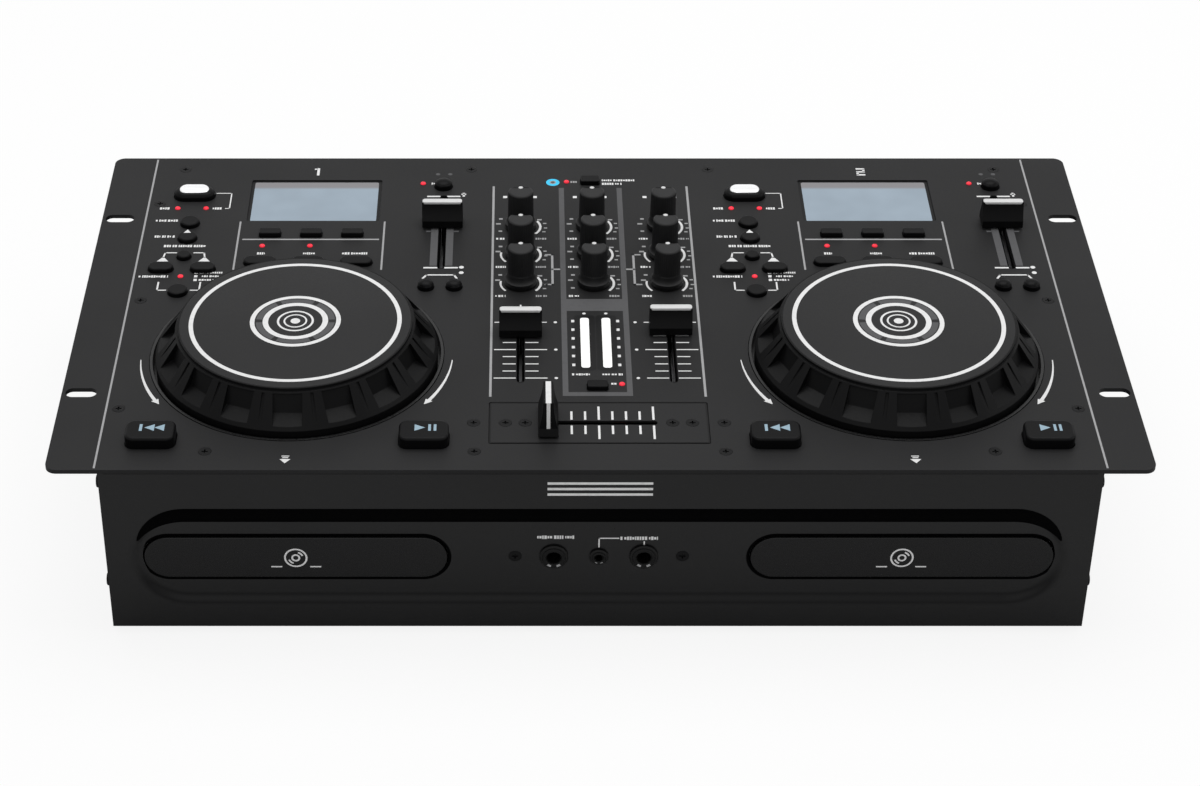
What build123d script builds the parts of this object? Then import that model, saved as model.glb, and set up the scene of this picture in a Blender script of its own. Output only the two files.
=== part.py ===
from build123d import *
import os
from math import atan2, cos, hypot, pi, radians, sin, sqrt, tan
from typing import NamedTuple

# Twin disc player with a small mixer between its decks, in a sheet-steel case under a rack panel.
# Millimetres. +X is the user's right, +Y is away from the user, +Z is up.
# The origin is under the middle of the panel, at the soles of the feet.
# Places on the panel are measured back from its front edge, and across from the middle of the panel
# or of a deck.

# ---- case and panel -------------------------------------------------------------------------
panel_width = 482.6
panel_depth = 265.9
panel_thickness = 2.0
panel_corner = 5.0
case_width = 437.3
case_height = 86.6
case_wall = 1.2
front_setback = 1.0
rear_setback = 7.4
foot_height = 4.0
foot_radius = 9.0
foot_inset = 30.0
seat_gap = 0.1

rack_slot_spacing = 465.1
rack_slot_length = 14.1
rack_slot_width = 6.8
rack_slot_front = 58.3
rack_slot_back = 207.5

rear_flange = 8.0
side_tab_reach = 8.0
side_tab_length = 12.0
front_tab_width = 14.0
front_tab_reach = 16.0

# ---- front panel ----------------------------------------------------------------------------
front_wall = 2.0
front_return = 12.0
front_return_wall = 1.5
recess_width = 418.6
recess_height = 53.5
recess_slope = 7.5
recess_depth = 2.5
door_spacing = 269.2
door_drop = 50.3
door_width = 134.6
door_height = 22.2
door_gap = 0.7
door_wall = 3.0
door_proud = 1.2
jack_spacing = 20.0
front_screw_x = 37.2

# ---- screws ---------------------------------------------------------------------------------
screw_radius = 1.5
screw_head_radius = 2.9
screw_head_height = 1.4
screw_length = 6.0
screw_taper = 45.0
screw_gap = 0.1
cross_width = 0.7
cross_length = 2.8
cross_depth = 0.8
side_screw_y = 7.0
side_screw_drops = (11.0, 66.0)
pan_head_radius = 3.0
pan_head_height = 1.6
rear_screws = ((204.8, 254.8), (59.9, 254.8))
side_screws_y = (46.0, 134.0, 221.5)
side_screws_x = 214.3
front_screws_x = (172.8, 55.0)
front_screws_y = 13.7
pillar_screw = (55.6, 35.1)

# ---- circuit boards under the panel ---------------------------------------------------------
board_drop = 12.0
board_thickness = 1.6
board_front = 18.0
board_back = 248.0
deck_board_width = 156.0
mixer_board_width = 118.0
pillar_radius = 3.0
deck_pillars = ((-74.5, 118.0), (74.5, 118.0), (-45.0, 245.0), (45.0, 245.0))

# ---- jog wheels -----------------------------------------------------------------------------
deck_spacing = 274.6
jog_y = 88.7
jog_radius = 64.5
jog_skirt_drop = 4.0
jog_skirt_rise = 3.0
jog_shoulder_radius = 54.2
jog_top_radius = 53.4
jog_height = 18.4
jog_plate = 1.4
jog_wall = 6.5
jog_notches = 16
notch_width = 13.0
notch_groove = 1.4
jog_hub_radius = 12.0
jog_axle_radius = 4.0
jog_axle_length = 22.0
bearing_gap = 0.05
well_gap = 1.5
well_wall = 1.3
well_rise = 0.3
well_depth = 7.0
well_floor = 1.5
well_flange = 3.2
well_fit = 0.3
well_boss_radius = 8.0
well_boss_drop = 24.0

# ---- display --------------------------------------------------------------------------------
display_y = 224.8
display_width = 65.5
display_depth = 39.0
display_border = 4.0
display_thickness = 7.0
display_sink = 0.6
display_gap = 0.25

# ---- keys -----------------------------------------------------------------------------------
key_travel = 1.0
key_gap = 0.3
key_lip = 0.8
key_lip_height = 1.2
key_rest_gap = 0.1
key_stem_radius = 1.8
key_bottom_gap = 0.3
carrier_width = 5.0
switch_size = 6.0
switch_height = 3.5
plunger_height = 1.3
plunger_radius = 1.5


class Key(NamedTuple):
    """A key cap: its place on the deck, its outline and how far it stands above the panel."""

    x: float
    y: float
    width: float
    depth: float
    rise: float
    corner: float
    crown: float


transport_y = 22.8
transport_width = 22.0
transport_depth = 14.5
transport_rise = 5.4
cue_key = Key(-60.0, transport_y, transport_width, transport_depth, transport_rise, 4.0, 1.2)
play_key = Key(60.0, transport_y, transport_width, transport_depth, transport_rise, 4.0, 1.2)
source_key = Key(-60.4, 228.8, 20.3, 10.6, 3.8, 5.25, 2.4)
track_y = 161.0
track_back_key = Key(-70.3, track_y, 12.0, 7.0, 2.4, 3.45, 0.8)
track_forward_key = Key(-50.1, track_y, 12.0, 7.0, 2.4, 3.45, 0.8)
mode_x = -60.2
mode_keys = tuple(Key(mode_x, y, size, size, 2.2, size / 2 - 0.02, 0.8)
                  for y, size in ((202.5, 9.2), (188.7, 9.2), (172.0, 6.8), (140.9, 9.2)))
display_keys = tuple(Key(x, 192.5, 10.4, 5.0, 2.5, 0.8, 0.5) for x in (-20.1, 0.0, 20.1))
loop_keys = tuple(Key(x, 166.8, 15.5, 6.8, 2.2, 3.35, 0.8) for x in (-23.2, 0.0, 23.2))
bend_keys = tuple(Key(x, 145.4, 7.6, 7.6, 2.4, 3.78, 0.8) for x in (57.4, 70.8))
lock_key = Key(63.7, 238.0, 8.8, 8.8, 3.0, 4.38, 1.2)
pairing_key = Key(0.0, 242.4, 9.2, 6.0, 2.4, 0.8, 0.5)
meter_key = Key(0.0, 62.8, 9.2, 5.6, 2.2, 0.8, 0.5)

deck_key_groups = {
    "cue_button": (cue_key,),
    "play_button": (play_key,),
    "source_button": (source_key,),
    "track_back_button": (track_back_key,),
    "track_forward_button": (track_forward_key,),
    "mode_keys": mode_keys,
    "display_keys": display_keys,
    "loop_keys": loop_keys,
    "pitch_bend_keys": bend_keys,
    "pitch_lock_button": (lock_key,),
}
mixer_key_groups = {
    "pairing_button": (pairing_key,),
    "meter_button": (meter_key,),
}

# ---- lamps and level meter ------------------------------------------------------------------
led_radius = 1.0
led_gap = 0.2
led_rise = 0.3
led_base_radius = 1.6
led_base_height = 3.0
led_key_gap = 0.5
deck_leds = ((-67.7, 216.9), (-53.7, 216.9), (-23.2, 182.0), (0.0, 182.0), (mode_x, 154.6), (53.4, 240.8))
mixer_leds = ((-11.8, 242.4), (11.1, 64.8))
meter_x = 5.0
meter_y = 98.5
meter_width = 5.2
meter_length = 41.6
meter_gap = 0.2

# ---- knobs ----------------------------------------------------------------------------------
column_spacing = 34.8
knob_rows = {"front": 148.6, "middle": 174.1, "back": 199.6}
knob_columns = {"left": -1, "centre": 0, "right": 1}
knob_height = 20.7
knob_lift = 0.6
knob_skirt_radius = 7.8
knob_radius = 6.3
knob_top_radius = 6.0
knob_skirt_height = 2.6
knob_flare_height = 3.6
knob_flat = 3.0
shaft_radius = 3.0
shaft_gap = 0.05
shaft_depth = 3.0
pot_size = 11.0
pot_height = 6.5
bushing_wall = 0.65
bushing_gap = 0.15
bushing_sink = 0.3

# ---- faders ---------------------------------------------------------------------------------
fader_height = 13.0
fader_lift = 1.0
fader_width = 19.8
fader_depth = 11.0
fader_ridge = 3.0
fader_foot = 3.4
fader_draft = 0.4
fader_hollow = 0.4
lever_thickness = 1.2
lever_width = 5.0
lever_depth = 4.0
lever_gap = 0.3
track_width = 9.0
track_height = 7.0
track_end = 5.0
crossfader_end = 12.0
slot_width = 3.0
slot_spare = 1.0
pitch_x = 64.1
pitch_middle = 195.5
pitch_travel = 60.0
pitch_rest = 202.6
channel_middle = 92.5
channel_travel = 45.0
channel_rest = {"left": 106.8, "right": 108.5}
crossfader_y = 35.1
crossfader_travel = 45.0
crossfader_cap_width = 9.0
crossfader_cap_length = 24.4
crossfader_cap_height = 16.5
crossfader_ridge = 4.4
crossfader_end_foot = 1.5
crossfader_end_draft = 2.3
plate_width = 97.0
plate_depth = 30.8
plate_thickness = 1.0
plate_corner = 1.0
plate_gap = 0.4
plate_ledge_x = 12.0
plate_ledge_y = 4.0
plate_screws = (41.5, 32.7)

# ---- disc trays and drives ------------------------------------------------------------------
tray_width = 128.0
tray_length = 168.0
tray_thickness = 5.0
tray_drop = 3.0
tray_travel = 138.0
tray_lead = 1.0
disc_radius = 60.0
disc_gap = 1.0
disc_well_depth = 2.0
small_disc_radius = 40.0
small_well_depth = 1.0
disc_centre = 68.0
pickup_width = 36.0
pickup_back = 57.0
pickup_front = 18.0
gear_module = 1.0
gear_teeth = 20
gear_height = 4.0
gear_play = 0.8
gear_backlash = 0.24
gear_y = 22.0
rack_x = -46.0
rack_height = 5.5
rack_back = 2.75
post_radius = 2.0
rail_gap = 0.4
rail_wall = 5.0
rail_lip = 3.0
rail_lip_height = 2.0
drive_front = 14.0
drive_back = 168.0
drive_base_drop = 16.0
drive_plate = 2.0
leg_radius = 4.0
leg_inset = 6.0
bridge_rise = 11.0
bridge_height = 2.0
bridge_depth = 16.0
clamp_radius = 14.0
clamp_height = 2.5
spindle_radius = 13.0
hub_radius = 8.0
hub_clear = 1.0
sled_size = (34.0, 22.0, 6.0)
sled_back = 40.0
rod_radius = 1.5
rod_spacing = 44.0
rod_length = 66.0
motor_radius = 9.0
motor_x = -8.0

# ---- boards and sockets low in the case -----------------------------------------------------
main_board_size = (104.0, 150.0)
main_board_y = 165.0
main_board_lift = 8.0
standoff_radius = 3.5
transformer_size = (44.0, 38.0, 30.0)
capacitor_radius = 6.0
capacitor_height = 22.0
heatsink_size = (46.0, 12.0, 26.0)
processor_size = (20.0, 20.0, 2.5)

large_jack = (3.2, 28.0, 4.4, 6.4, 15.0)
small_jack = (1.8, 13.0, 2.9, 4.2, 10.0)
jack_ring_height = 1.4
jack_gap = 0.1

rca_columns = (-156.0, -128.0, -100.0, -72.0)
rca_rows = (34.0, 56.0)
rca_sleeve_radius = 4.15
rca_bore_radius = 1.7
rca_bore_depth = 8.0
rca_length = 7.0
rca_flange_radius = 5.6
rca_flange_height = 1.0
rca_body = 11.0
rca_body_depth = 12.0
socket_gap = 0.1
inlet_x = 168.0
inlet_z = 44.0
inlet_cavity = (24.5, 16.5)
inlet_depth = 15.0
inlet_wall = 1.5
inlet_flange = (32.0, 24.0)
inlet_flange_height = 1.6
inlet_pins = ((-7.0, -2.0), (0.0, 2.0), (7.0, -2.0))
inlet_pin = (2.0, 4.0, 12.0)
switch_x = 132.0
rocker_width = 11.0
rocker_height = 18.0
rocker_gap = 0.4
rocker_swing = 14.0
rocker_pivot = 4.0
rocker_back = 3.0
rocker_crest = 2.4
rocker_pin_radius = 1.2
rocker_pin_sink = 1.0
switch_wall = 1.5
switch_depth = 14.0
vent_count = 12
vent_pitch = 6.0
vent_width = 2.4
vent_height = 24.0
vent_z = 62.0

# ---- levels and places worked out from the sizes above --------------------------------------
panel_bottom = foot_height + case_height
panel_top = panel_bottom + panel_thickness
board_top = panel_bottom - board_drop
case_inner_x = case_width / 2 - case_wall
door_z = panel_top - door_drop
tray_bottom = door_z - tray_drop
tray_top = tray_bottom + tray_thickness
plunger_top = board_top + switch_height + plunger_height
well_radius = jog_radius + well_gap
well_outer = well_radius + well_wall
rocker_sweep = hypot(rocker_height / 2, rocker_pivot + rocker_crest)
housing_width = rocker_width + 2 * (rocker_gap + switch_wall)
housing_height = 2 * (rocker_sweep + rocker_gap + switch_wall)
sides = {"left": -1, "right": 1}
deck_x = {side: sign * deck_spacing / 2 for side, sign in sides.items()}
drive_x = {side: sign * door_spacing / 2 for side, sign in sides.items()}


def back(from_front):
    """Y of a place measured back from the panel's front edge."""
    return from_front - panel_depth / 2


front_face = back(front_setback)
front_back = front_face + front_wall
recess_floor = front_face + recess_depth
rear_face = back(panel_depth - rear_setback)
rear_inner = rear_face - case_wall
tray_front = recess_floor - door_proud + door_wall

panel_screws_at = []
for sign in (-1, 1):
    panel_screws_at += [(sign * x, back(y)) for x, y in rear_screws]
    panel_screws_at += [(sign * side_screws_x, back(y)) for y in side_screws_y]
    panel_screws_at += [(sign * x, back(front_screws_y)) for x in front_screws_x]
    panel_screws_at += [(sign * pillar_screw[0], back(pillar_screw[1]))]
plate_screws_at = [(sign * x, back(crossfader_y)) for sign in (-1, 1) for x in plate_screws]
leds_at = [(deck_x[side] + x, back(y)) for side in sides for x, y in deck_leds]
leds_at += [(x, back(y)) for x, y in mixer_leds]
jacks = {-jack_spacing: large_jack, 0.0: small_jack, jack_spacing: large_jack}


def all_key_groups():
    """Every key group with the X that its keys are measured from."""
    groups = {}
    for side in sides:
        for name, keys in deck_key_groups.items():
            groups[f"{name}_{side}"] = (keys, deck_x[side])
    for name, keys in mixer_key_groups.items():
        groups[name] = (keys, 0.0)
    return groups


def draw_key(key, middle, grow=0.0):
    """The outline of a key in the current sketch, grown all round by grow."""
    with Locations((middle + key.x, back(key.y))):
        RectangleRounded(key.width + 2 * grow, key.depth + 2 * grow, key.corner + grow)


def save(piece, name):
    """Labels a finished piece and writes its file."""
    piece.part.label = name
    export_step(piece.part, f"parts/{name}.step")


os.makedirs("parts", exist_ok=True)

# ---- top panel: rack ears, wells, windows, slots and screw holes ----------------------------
with BuildPart() as top_panel:
    with BuildSketch(Plane.XY.offset(panel_bottom)):
        RectangleRounded(panel_width, panel_depth, panel_corner)
        with Locations(*[(sign * rack_slot_spacing / 2, back(y)) for sign in (-1, 1)
                         for y in (rack_slot_front, rack_slot_back)]):
            SlotOverall(rack_slot_length, rack_slot_width, mode=Mode.SUBTRACT)
        with Locations(*[(x, back(jog_y)) for x in deck_x.values()]):
            Circle(well_outer + well_fit, mode=Mode.SUBTRACT)
        with Locations(*[(x, back(display_y)) for x in deck_x.values()]):
            RectangleRounded(display_width, display_depth, 1.0, mode=Mode.SUBTRACT)
        with Locations(*[(x + pitch_x, back(pitch_middle)) for x in deck_x.values()]):
            SlotOverall(pitch_travel + lever_width + 2 * slot_spare, slot_width, 90, mode=Mode.SUBTRACT)
        with Locations(*[(sign * column_spacing, back(channel_middle)) for sign in (-1, 1)]):
            SlotOverall(channel_travel + lever_width + 2 * slot_spare, slot_width, 90, mode=Mode.SUBTRACT)
        with Locations(*[(column * column_spacing, back(y)) for column in knob_columns.values()
                         for y in knob_rows.values()]):
            Circle(shaft_radius + shaft_gap + bushing_wall + bushing_gap, mode=Mode.SUBTRACT)
        with Locations(*leds_at):
            Circle(led_radius + led_gap, mode=Mode.SUBTRACT)
        with Locations(*[(sign * meter_x, back(meter_y)) for sign in (-1, 1)]):
            Rectangle(meter_width + 2 * meter_gap, meter_length + 2 * meter_gap, mode=Mode.SUBTRACT)
        with Locations((0, back(crossfader_y))):
            Rectangle(plate_width - 2 * plate_ledge_x, plate_depth - 2 * plate_ledge_y, mode=Mode.SUBTRACT)
    extrude(amount=panel_thickness)
    with BuildSketch(Plane.XY.offset(panel_bottom)):
        for keys, middle in all_key_groups().values():
            for key in keys:
                draw_key(key, middle, key_gap)
    extrude(amount=panel_thickness, mode=Mode.SUBTRACT)
    with BuildSketch(Plane.XY.offset(panel_top - plate_thickness)):
        with Locations((0, back(crossfader_y))):
            RectangleRounded(plate_width + 2 * plate_gap, plate_depth + 2 * plate_gap, plate_corner)
    extrude(amount=plate_thickness, mode=Mode.SUBTRACT)
    with Locations(*[(x, y, panel_top) for x, y in panel_screws_at]):
        CounterSinkHole(screw_radius + screw_gap, screw_head_radius + screw_gap, panel_thickness * 2,
                        2 * screw_taper)
    with Locations(*[(sign * plate_screws[0], back(crossfader_y), panel_top) for sign in (-1, 1)]):
        Hole(screw_head_radius - plate_thickness + screw_gap, panel_thickness * 2)
save(top_panel, "top_panel")

# ---- lower case: floor, sides and rear folded from one sheet --------------------------------
tub_depth = rear_face - front_back
tub_middle = (rear_face + front_back) / 2
with BuildPart() as case_tub:
    with BuildSketch(Plane.XY.offset(foot_height)):
        with Locations((0, tub_middle)):
            Rectangle(case_width, tub_depth)
    extrude(amount=case_height)
    with BuildSketch(Plane.XY.offset(foot_height + case_wall)):
        with Locations((0, tub_middle - case_wall / 2)):
            Rectangle(2 * case_inner_x, tub_depth - case_wall)
    extrude(amount=case_height, mode=Mode.SUBTRACT)
    with BuildSketch(Plane.XY.offset(panel_bottom - case_wall)):
        with Locations((0, rear_face - rear_flange / 2)):
            Rectangle(case_width, rear_flange)
        tab_middle = case_width / 2 - side_tab_reach / 2
        with Locations(*[(sign * tab_middle, back(y)) for sign in (-1, 1) for y in side_screws_y]):
            Rectangle(side_tab_reach, side_tab_length)
    extrude(amount=case_wall)
    with Locations(*[(x, y, panel_bottom) for x, y in panel_screws_at if abs(x) != pillar_screw[0]]):
        Hole(screw_radius + screw_gap, 2 * case_wall)
    with BuildSketch(Plane.YZ.offset(-case_width / 2)):
        with Locations(*[(back(side_screw_y), panel_top - drop) for drop in side_screw_drops]):
            Circle(screw_radius + screw_gap)
    extrude(amount=case_width, mode=Mode.SUBTRACT)
    with BuildSketch(Plane.XZ.offset(-rear_face)):
        with Locations(*[(x, z) for x in rca_columns for z in rca_rows]):
            Circle(rca_sleeve_radius + socket_gap)
        with Locations((inlet_x, inlet_z)):
            Rectangle(inlet_cavity[0] + 2 * (inlet_wall + socket_gap),
                      inlet_cavity[1] + 2 * (inlet_wall + socket_gap))
        with Locations((switch_x, inlet_z)):
            Rectangle(housing_width + 2 * socket_gap, housing_height + 2 * socket_gap)
        with Locations((0, vent_z)):
            with GridLocations(vent_pitch, 0, vent_count, 1):
                SlotOverall(vent_height, vent_width, 90)
    extrude(amount=2 * case_wall, mode=Mode.SUBTRACT)
save(case_tub, "case_tub")

# ---- front panel: moulded plate with a wide dished recess, returns and screw tabs -----------
front_height = case_height - seat_gap
front_middle = foot_height + front_height / 2
recess_end = recess_width / 2 - recess_height / 2
recess_outer = recess_height / 2
recess_inner = recess_outer - recess_slope


def recess_section():
    """Upper half of the recess's section: two tangent arcs from the face down to the recess floor."""
    rim = (front_face, door_z + recess_outer)
    halfway = (front_face + recess_depth / 2, door_z + (recess_outer + recess_inner) / 2)
    floor_edge = (recess_floor, door_z + recess_inner)
    with BuildLine() as outline:
        upper = TangentArc(rim, halfway, tangent=(0, -1))
        TangentArc(halfway, floor_edge, tangent=upper % 1)
        Polyline(floor_edge, (recess_floor, door_z), (front_face - 1, door_z),
                 (front_face - 1, door_z + recess_outer), rim)
    make_face(outline.edges())


with BuildPart() as front_panel:
    with BuildSketch(Plane.XZ.offset(-front_face)):
        with Locations((0, front_middle)):
            Rectangle(case_width, front_height)
    extrude(amount=-front_wall)
    with BuildSketch(Plane.XZ.offset(-front_back)):
        with Locations((0, door_z)):
            SlotOverall(recess_width, recess_height)
    extrude(amount=-recess_depth)
    # returns that the side screws hold, and tabs under the top panel
    with BuildSketch(Plane.XY.offset(foot_height + case_wall + seat_gap)):
        return_x = case_inner_x - seat_gap - front_return_wall / 2
        with Locations(*[(sign * return_x, front_back + front_return / 2) for sign in (-1, 1)]):
            Rectangle(front_return_wall, front_return)
    extrude(amount=case_height - 2 * case_wall - 2 * seat_gap)
    with BuildSketch(Plane.XY.offset(panel_bottom - seat_gap - front_return_wall)):
        with Locations(*[(sign * x, front_back + front_tab_reach / 2) for sign in (-1, 1)
                         for x in front_screws_x]):
            Rectangle(front_tab_width, front_tab_reach)
    extrude(amount=front_return_wall)
    # dished recess: its section run between the two end centres and turned round them
    with BuildSketch(Plane.YZ.offset(-recess_end)):
        recess_section()
        mirror(about=Plane.XZ.offset(-door_z))
    extrude(amount=2 * recess_end, mode=Mode.SUBTRACT)
    for sign in (-1, 1):
        with BuildSketch(Plane.YZ.offset(sign * recess_end)):
            recess_section()
        revolve(axis=Axis((sign * recess_end, 0, door_z), (0, 1, 0)), mode=Mode.SUBTRACT)
    with BuildSketch(Plane.XZ.offset(-front_face + 1)):
        with Locations(*[(x, door_z) for x in drive_x.values()]):
            SlotOverall(door_width + 2 * door_gap, door_height + 2 * door_gap)
        for x, (_, _, bushing, _, _) in jacks.items():
            with Locations((x, door_z)):
                Circle(bushing + jack_gap)
        with Locations(*[(sign * front_screw_x, door_z) for sign in (-1, 1)]):
            Circle(screw_radius + screw_gap)
    extrude(amount=-(front_wall + recess_depth + 2), mode=Mode.SUBTRACT)
    for sign in (-1, 1):
        with Locations(Plane((sign * front_screw_x, recess_floor, door_z), z_dir=(0, -1, 0))):
            CounterSinkHole(screw_radius + screw_gap, screw_head_radius + screw_gap, front_wall,
                        2 * screw_taper)
    with Locations(*[(sign * x, back(front_screws_y), panel_bottom) for sign in (-1, 1)
                     for x in front_screws_x]):
        Hole(screw_radius + screw_gap, 2 * front_return_wall)
    with BuildSketch(Plane.YZ.offset(-case_width / 2)):
        with Locations(*[(back(side_screw_y), panel_top - drop) for drop in side_screw_drops]):
            Circle(screw_radius + screw_gap)
    extrude(amount=case_width, mode=Mode.SUBTRACT)
save(front_panel, "front_panel")

# ---- feet -----------------------------------------------------------------------------------
with BuildPart() as rubber_feet:
    with BuildSketch():
        with Locations((0, (front_face + rear_face) / 2)):
            with GridLocations(case_width - 2 * foot_inset, rear_face - front_face - 2 * foot_inset, 2, 2):
                Circle(foot_radius)
    extrude(amount=foot_height)
    chamfer(rubber_feet.faces().group_by(Axis.Z)[0].edges(), 0.8)
save(rubber_feet, "rubber_feet")

# ---- screws ---------------------------------------------------------------------------------


def countersunk_screw(place):
    """A cross-head screw whose flat head lies at the plane's origin, its shank along -Z."""
    with BuildSketch(place) as head:
        Circle(screw_head_radius)
    extrude(head.sketch, amount=-screw_head_height, taper=screw_taper)
    with BuildSketch(place.offset(-screw_head_height)) as shank:
        Circle(screw_radius)
    extrude(shank.sketch, amount=-screw_length)
    with BuildSketch(place) as drive:
        Rectangle(cross_length, cross_width)
        Rectangle(cross_width, cross_length)
    extrude(drive.sketch, amount=-cross_depth, mode=Mode.SUBTRACT)


with BuildPart() as panel_screws:
    for x, y in panel_screws_at + plate_screws_at:
        countersunk_screw(Plane((x, y, panel_top)))
    for sign in (-1, 1):
        countersunk_screw(Plane((sign * front_screw_x, recess_floor, door_z), z_dir=(0, -1, 0)))
save(panel_screws, "panel_screws")

with BuildPart() as case_screws:
    for sign in (-1, 1):
        for drop in side_screw_drops:
            place = Plane((sign * case_width / 2, back(side_screw_y), panel_top - drop), z_dir=(sign, 0, 0))
            with BuildSketch(place):
                Circle(pan_head_radius)
            extrude(amount=pan_head_height)
            fillet(case_screws.faces(Select.LAST).sort_by(Axis(place.origin, place.z_dir))[-1].edges(), 0.7)
            with BuildSketch(place):
                Circle(screw_radius)
            extrude(amount=-screw_length)
            with BuildSketch(place.offset(pan_head_height)):
                Rectangle(cross_length, cross_width)
                Rectangle(cross_width, cross_length)
            extrude(amount=-cross_depth, mode=Mode.SUBTRACT)
save(case_screws, "case_screws")

# ---- jog wheels and the wells that carry their bearings -------------------------------------
with BuildPart() as notch_cutter:
    # one finger scoop: a steep back wall under the top plate and a pad that slopes out to the skirt
    with BuildSketch(Plane.XZ):
        with BuildLine():
            Polyline((jog_radius + 2, panel_top + jog_skirt_rise + 1.2),
                     (jog_radius - 1.2, panel_top + jog_skirt_rise + 1.6),
                     (jog_shoulder_radius + 2.4, panel_top + jog_skirt_rise + 4.6),
                     (jog_shoulder_radius - 0.8, panel_top + jog_height - 2.2),
                     (jog_radius + 2, panel_top + jog_height - 2.2), close=True)
        make_face()
    extrude(amount=notch_width / 2, both=True)
    fillet(notch_cutter.edges().filter_by(Axis.X, reverse=True).group_by(Axis.X)[0], 0.6)

with BuildPart() as groove_cutter:
    with BuildSketch(Plane.XZ):
        with BuildLine():
            Polyline((jog_radius + 2, panel_top + jog_skirt_rise + 2.0),
                     (jog_radius - 1.6, panel_top + jog_skirt_rise + 2.2),
                     (jog_shoulder_radius - 0.6, panel_top + jog_height - 2.2),
                     (jog_radius + 2, panel_top + jog_height - 2.2), close=True)
        make_face()
    extrude(amount=notch_groove / 2, both=True)


def jog_wheel(name, middle):
    """A jog wheel: hollow notched rim, flat top plate, hub and axle."""
    skirt_bottom = panel_top - jog_skirt_drop
    rim_top = panel_top + jog_height - jog_plate
    with BuildPart() as wheel:
        with BuildSketch(Plane.XZ) as section:
            with BuildLine():
                Polyline((0, skirt_bottom), (jog_radius, skirt_bottom),
                         (jog_radius, panel_top + jog_skirt_rise),
                         (jog_shoulder_radius, rim_top), (jog_top_radius, rim_top),
                         (jog_top_radius, rim_top + jog_plate), (0, rim_top + jog_plate), close=True)
            make_face()
            with BuildLine():
                Polyline((jog_hub_radius, skirt_bottom - 1), (jog_radius - jog_wall, skirt_bottom - 1),
                         (jog_radius - jog_wall, panel_top + jog_skirt_rise),
                         (jog_shoulder_radius - jog_wall, rim_top - jog_plate),
                         (jog_hub_radius, rim_top - jog_plate), close=True)
            make_face(mode=Mode.SUBTRACT)
        revolve(axis=Axis.Z)
        with PolarLocations(0, jog_notches):
            add(notch_cutter.part, mode=Mode.SUBTRACT)
        with PolarLocations(0, jog_notches, 180 / jog_notches):
            add(groove_cutter.part, mode=Mode.SUBTRACT)
        with BuildSketch(Plane.XY.offset(skirt_bottom)):
            Circle(jog_axle_radius)
        extrude(amount=-(jog_axle_length - jog_skirt_drop))
    wheel.part.move(Location((middle, back(jog_y), 0)))
    save(wheel, name)


for side in sides:
    jog_wheel(f"jog_wheel_{side}", deck_x[side])

with BuildPart() as jog_wells:
    for middle in deck_x.values():
        place = Plane((middle, back(jog_y), 0))
        with BuildSketch(place.offset(panel_top - well_depth)):
            Circle(well_outer)
        extrude(amount=well_depth + well_rise)
        with BuildSketch(place.offset(panel_bottom - well_floor)):
            Circle(well_outer + well_flange)
        extrude(amount=well_floor)
        with BuildSketch(place.offset(panel_top - well_depth + well_floor)):
            Circle(well_radius)
        extrude(amount=well_depth + well_rise, mode=Mode.SUBTRACT)
        with BuildSketch(place.offset(panel_top - well_boss_drop)):
            Circle(well_boss_radius)
        extrude(amount=well_boss_drop - well_depth + well_floor)
        with BuildSketch(place.offset(panel_top - well_boss_drop)):
            Circle(jog_axle_radius + bearing_gap)
        extrude(amount=well_boss_drop, mode=Mode.SUBTRACT)
save(jog_wells, "jog_wells")

# ---- displays -------------------------------------------------------------------------------
with BuildPart() as display_modules:
    for middle in deck_x.values():
        place = Plane((middle, back(display_y), panel_bottom))
        with BuildSketch(place):
            Rectangle(display_width + 2 * display_border, display_depth + 2 * display_border)
        extrude(amount=-display_thickness)
        with BuildSketch(place):
            RectangleRounded(display_width - 2 * display_gap, display_depth - 2 * display_gap, 0.8)
        extrude(amount=panel_thickness - display_sink)
save(display_modules, "display_modules")

# ---- keys: caps with lips under the panel, stems and, where they share one, a carrier bar ----
lip_bottom = panel_bottom - key_rest_gap - key_lip_height
stem_bottom = plunger_top + key_travel + key_bottom_gap


def key_group(name, keys, middle):
    """One moulding of one or more key caps on a common carrier bar."""
    with BuildPart() as group:
        for key in keys:
            with BuildSketch(Plane.XY.offset(lip_bottom)):
                draw_key(key, middle)
            extrude(amount=panel_top + key.rise - lip_bottom)
            fillet(group.faces(Select.LAST).sort_by(Axis.Z)[-1].edges(), key.crown)
        with BuildSketch(Plane.XY.offset(lip_bottom)):
            for key in keys:
                draw_key(key, middle, key_lip)
            if len(keys) > 1:
                first, last = keys[0], keys[-1]
                with Locations((middle + (first.x + last.x) / 2, back((first.y + last.y) / 2))):
                    if first.x == last.x:
                        Rectangle(carrier_width, abs(first.y - last.y))
                    else:
                        Rectangle(abs(first.x - last.x), carrier_width)
        extrude(amount=key_lip_height)
        with BuildSketch(Plane.XY.offset(stem_bottom)):
            for key in keys:
                with Locations((middle + key.x, back(key.y))):
                    Circle(key_stem_radius)
        extrude(amount=lip_bottom - stem_bottom)
        if len(keys) > 1:
            with BuildSketch(Plane.XY.offset(lip_bottom)):
                with Locations(*leds_at):
                    Circle(led_radius + led_key_gap)
            extrude(amount=key_lip_height, mode=Mode.SUBTRACT)
    save(group, name)


for name, (keys, middle) in all_key_groups().items():
    key_group(name, keys, middle)

# ---- lamps and level meter ------------------------------------------------------------------
with BuildPart() as status_leds:
    with BuildSketch(Plane.XY.offset(board_top)):
        with Locations(*leds_at):
            Circle(led_base_radius)
    extrude(amount=led_base_height)
    with BuildSketch(Plane.XY.offset(board_top)):
        with Locations(*leds_at):
            Circle(led_radius)
    extrude(amount=panel_top + led_rise - board_top)
    fillet(status_leds.faces().group_by(Axis.Z)[-1].edges(), 0.4)
save(status_leds, "status_leds")

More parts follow.
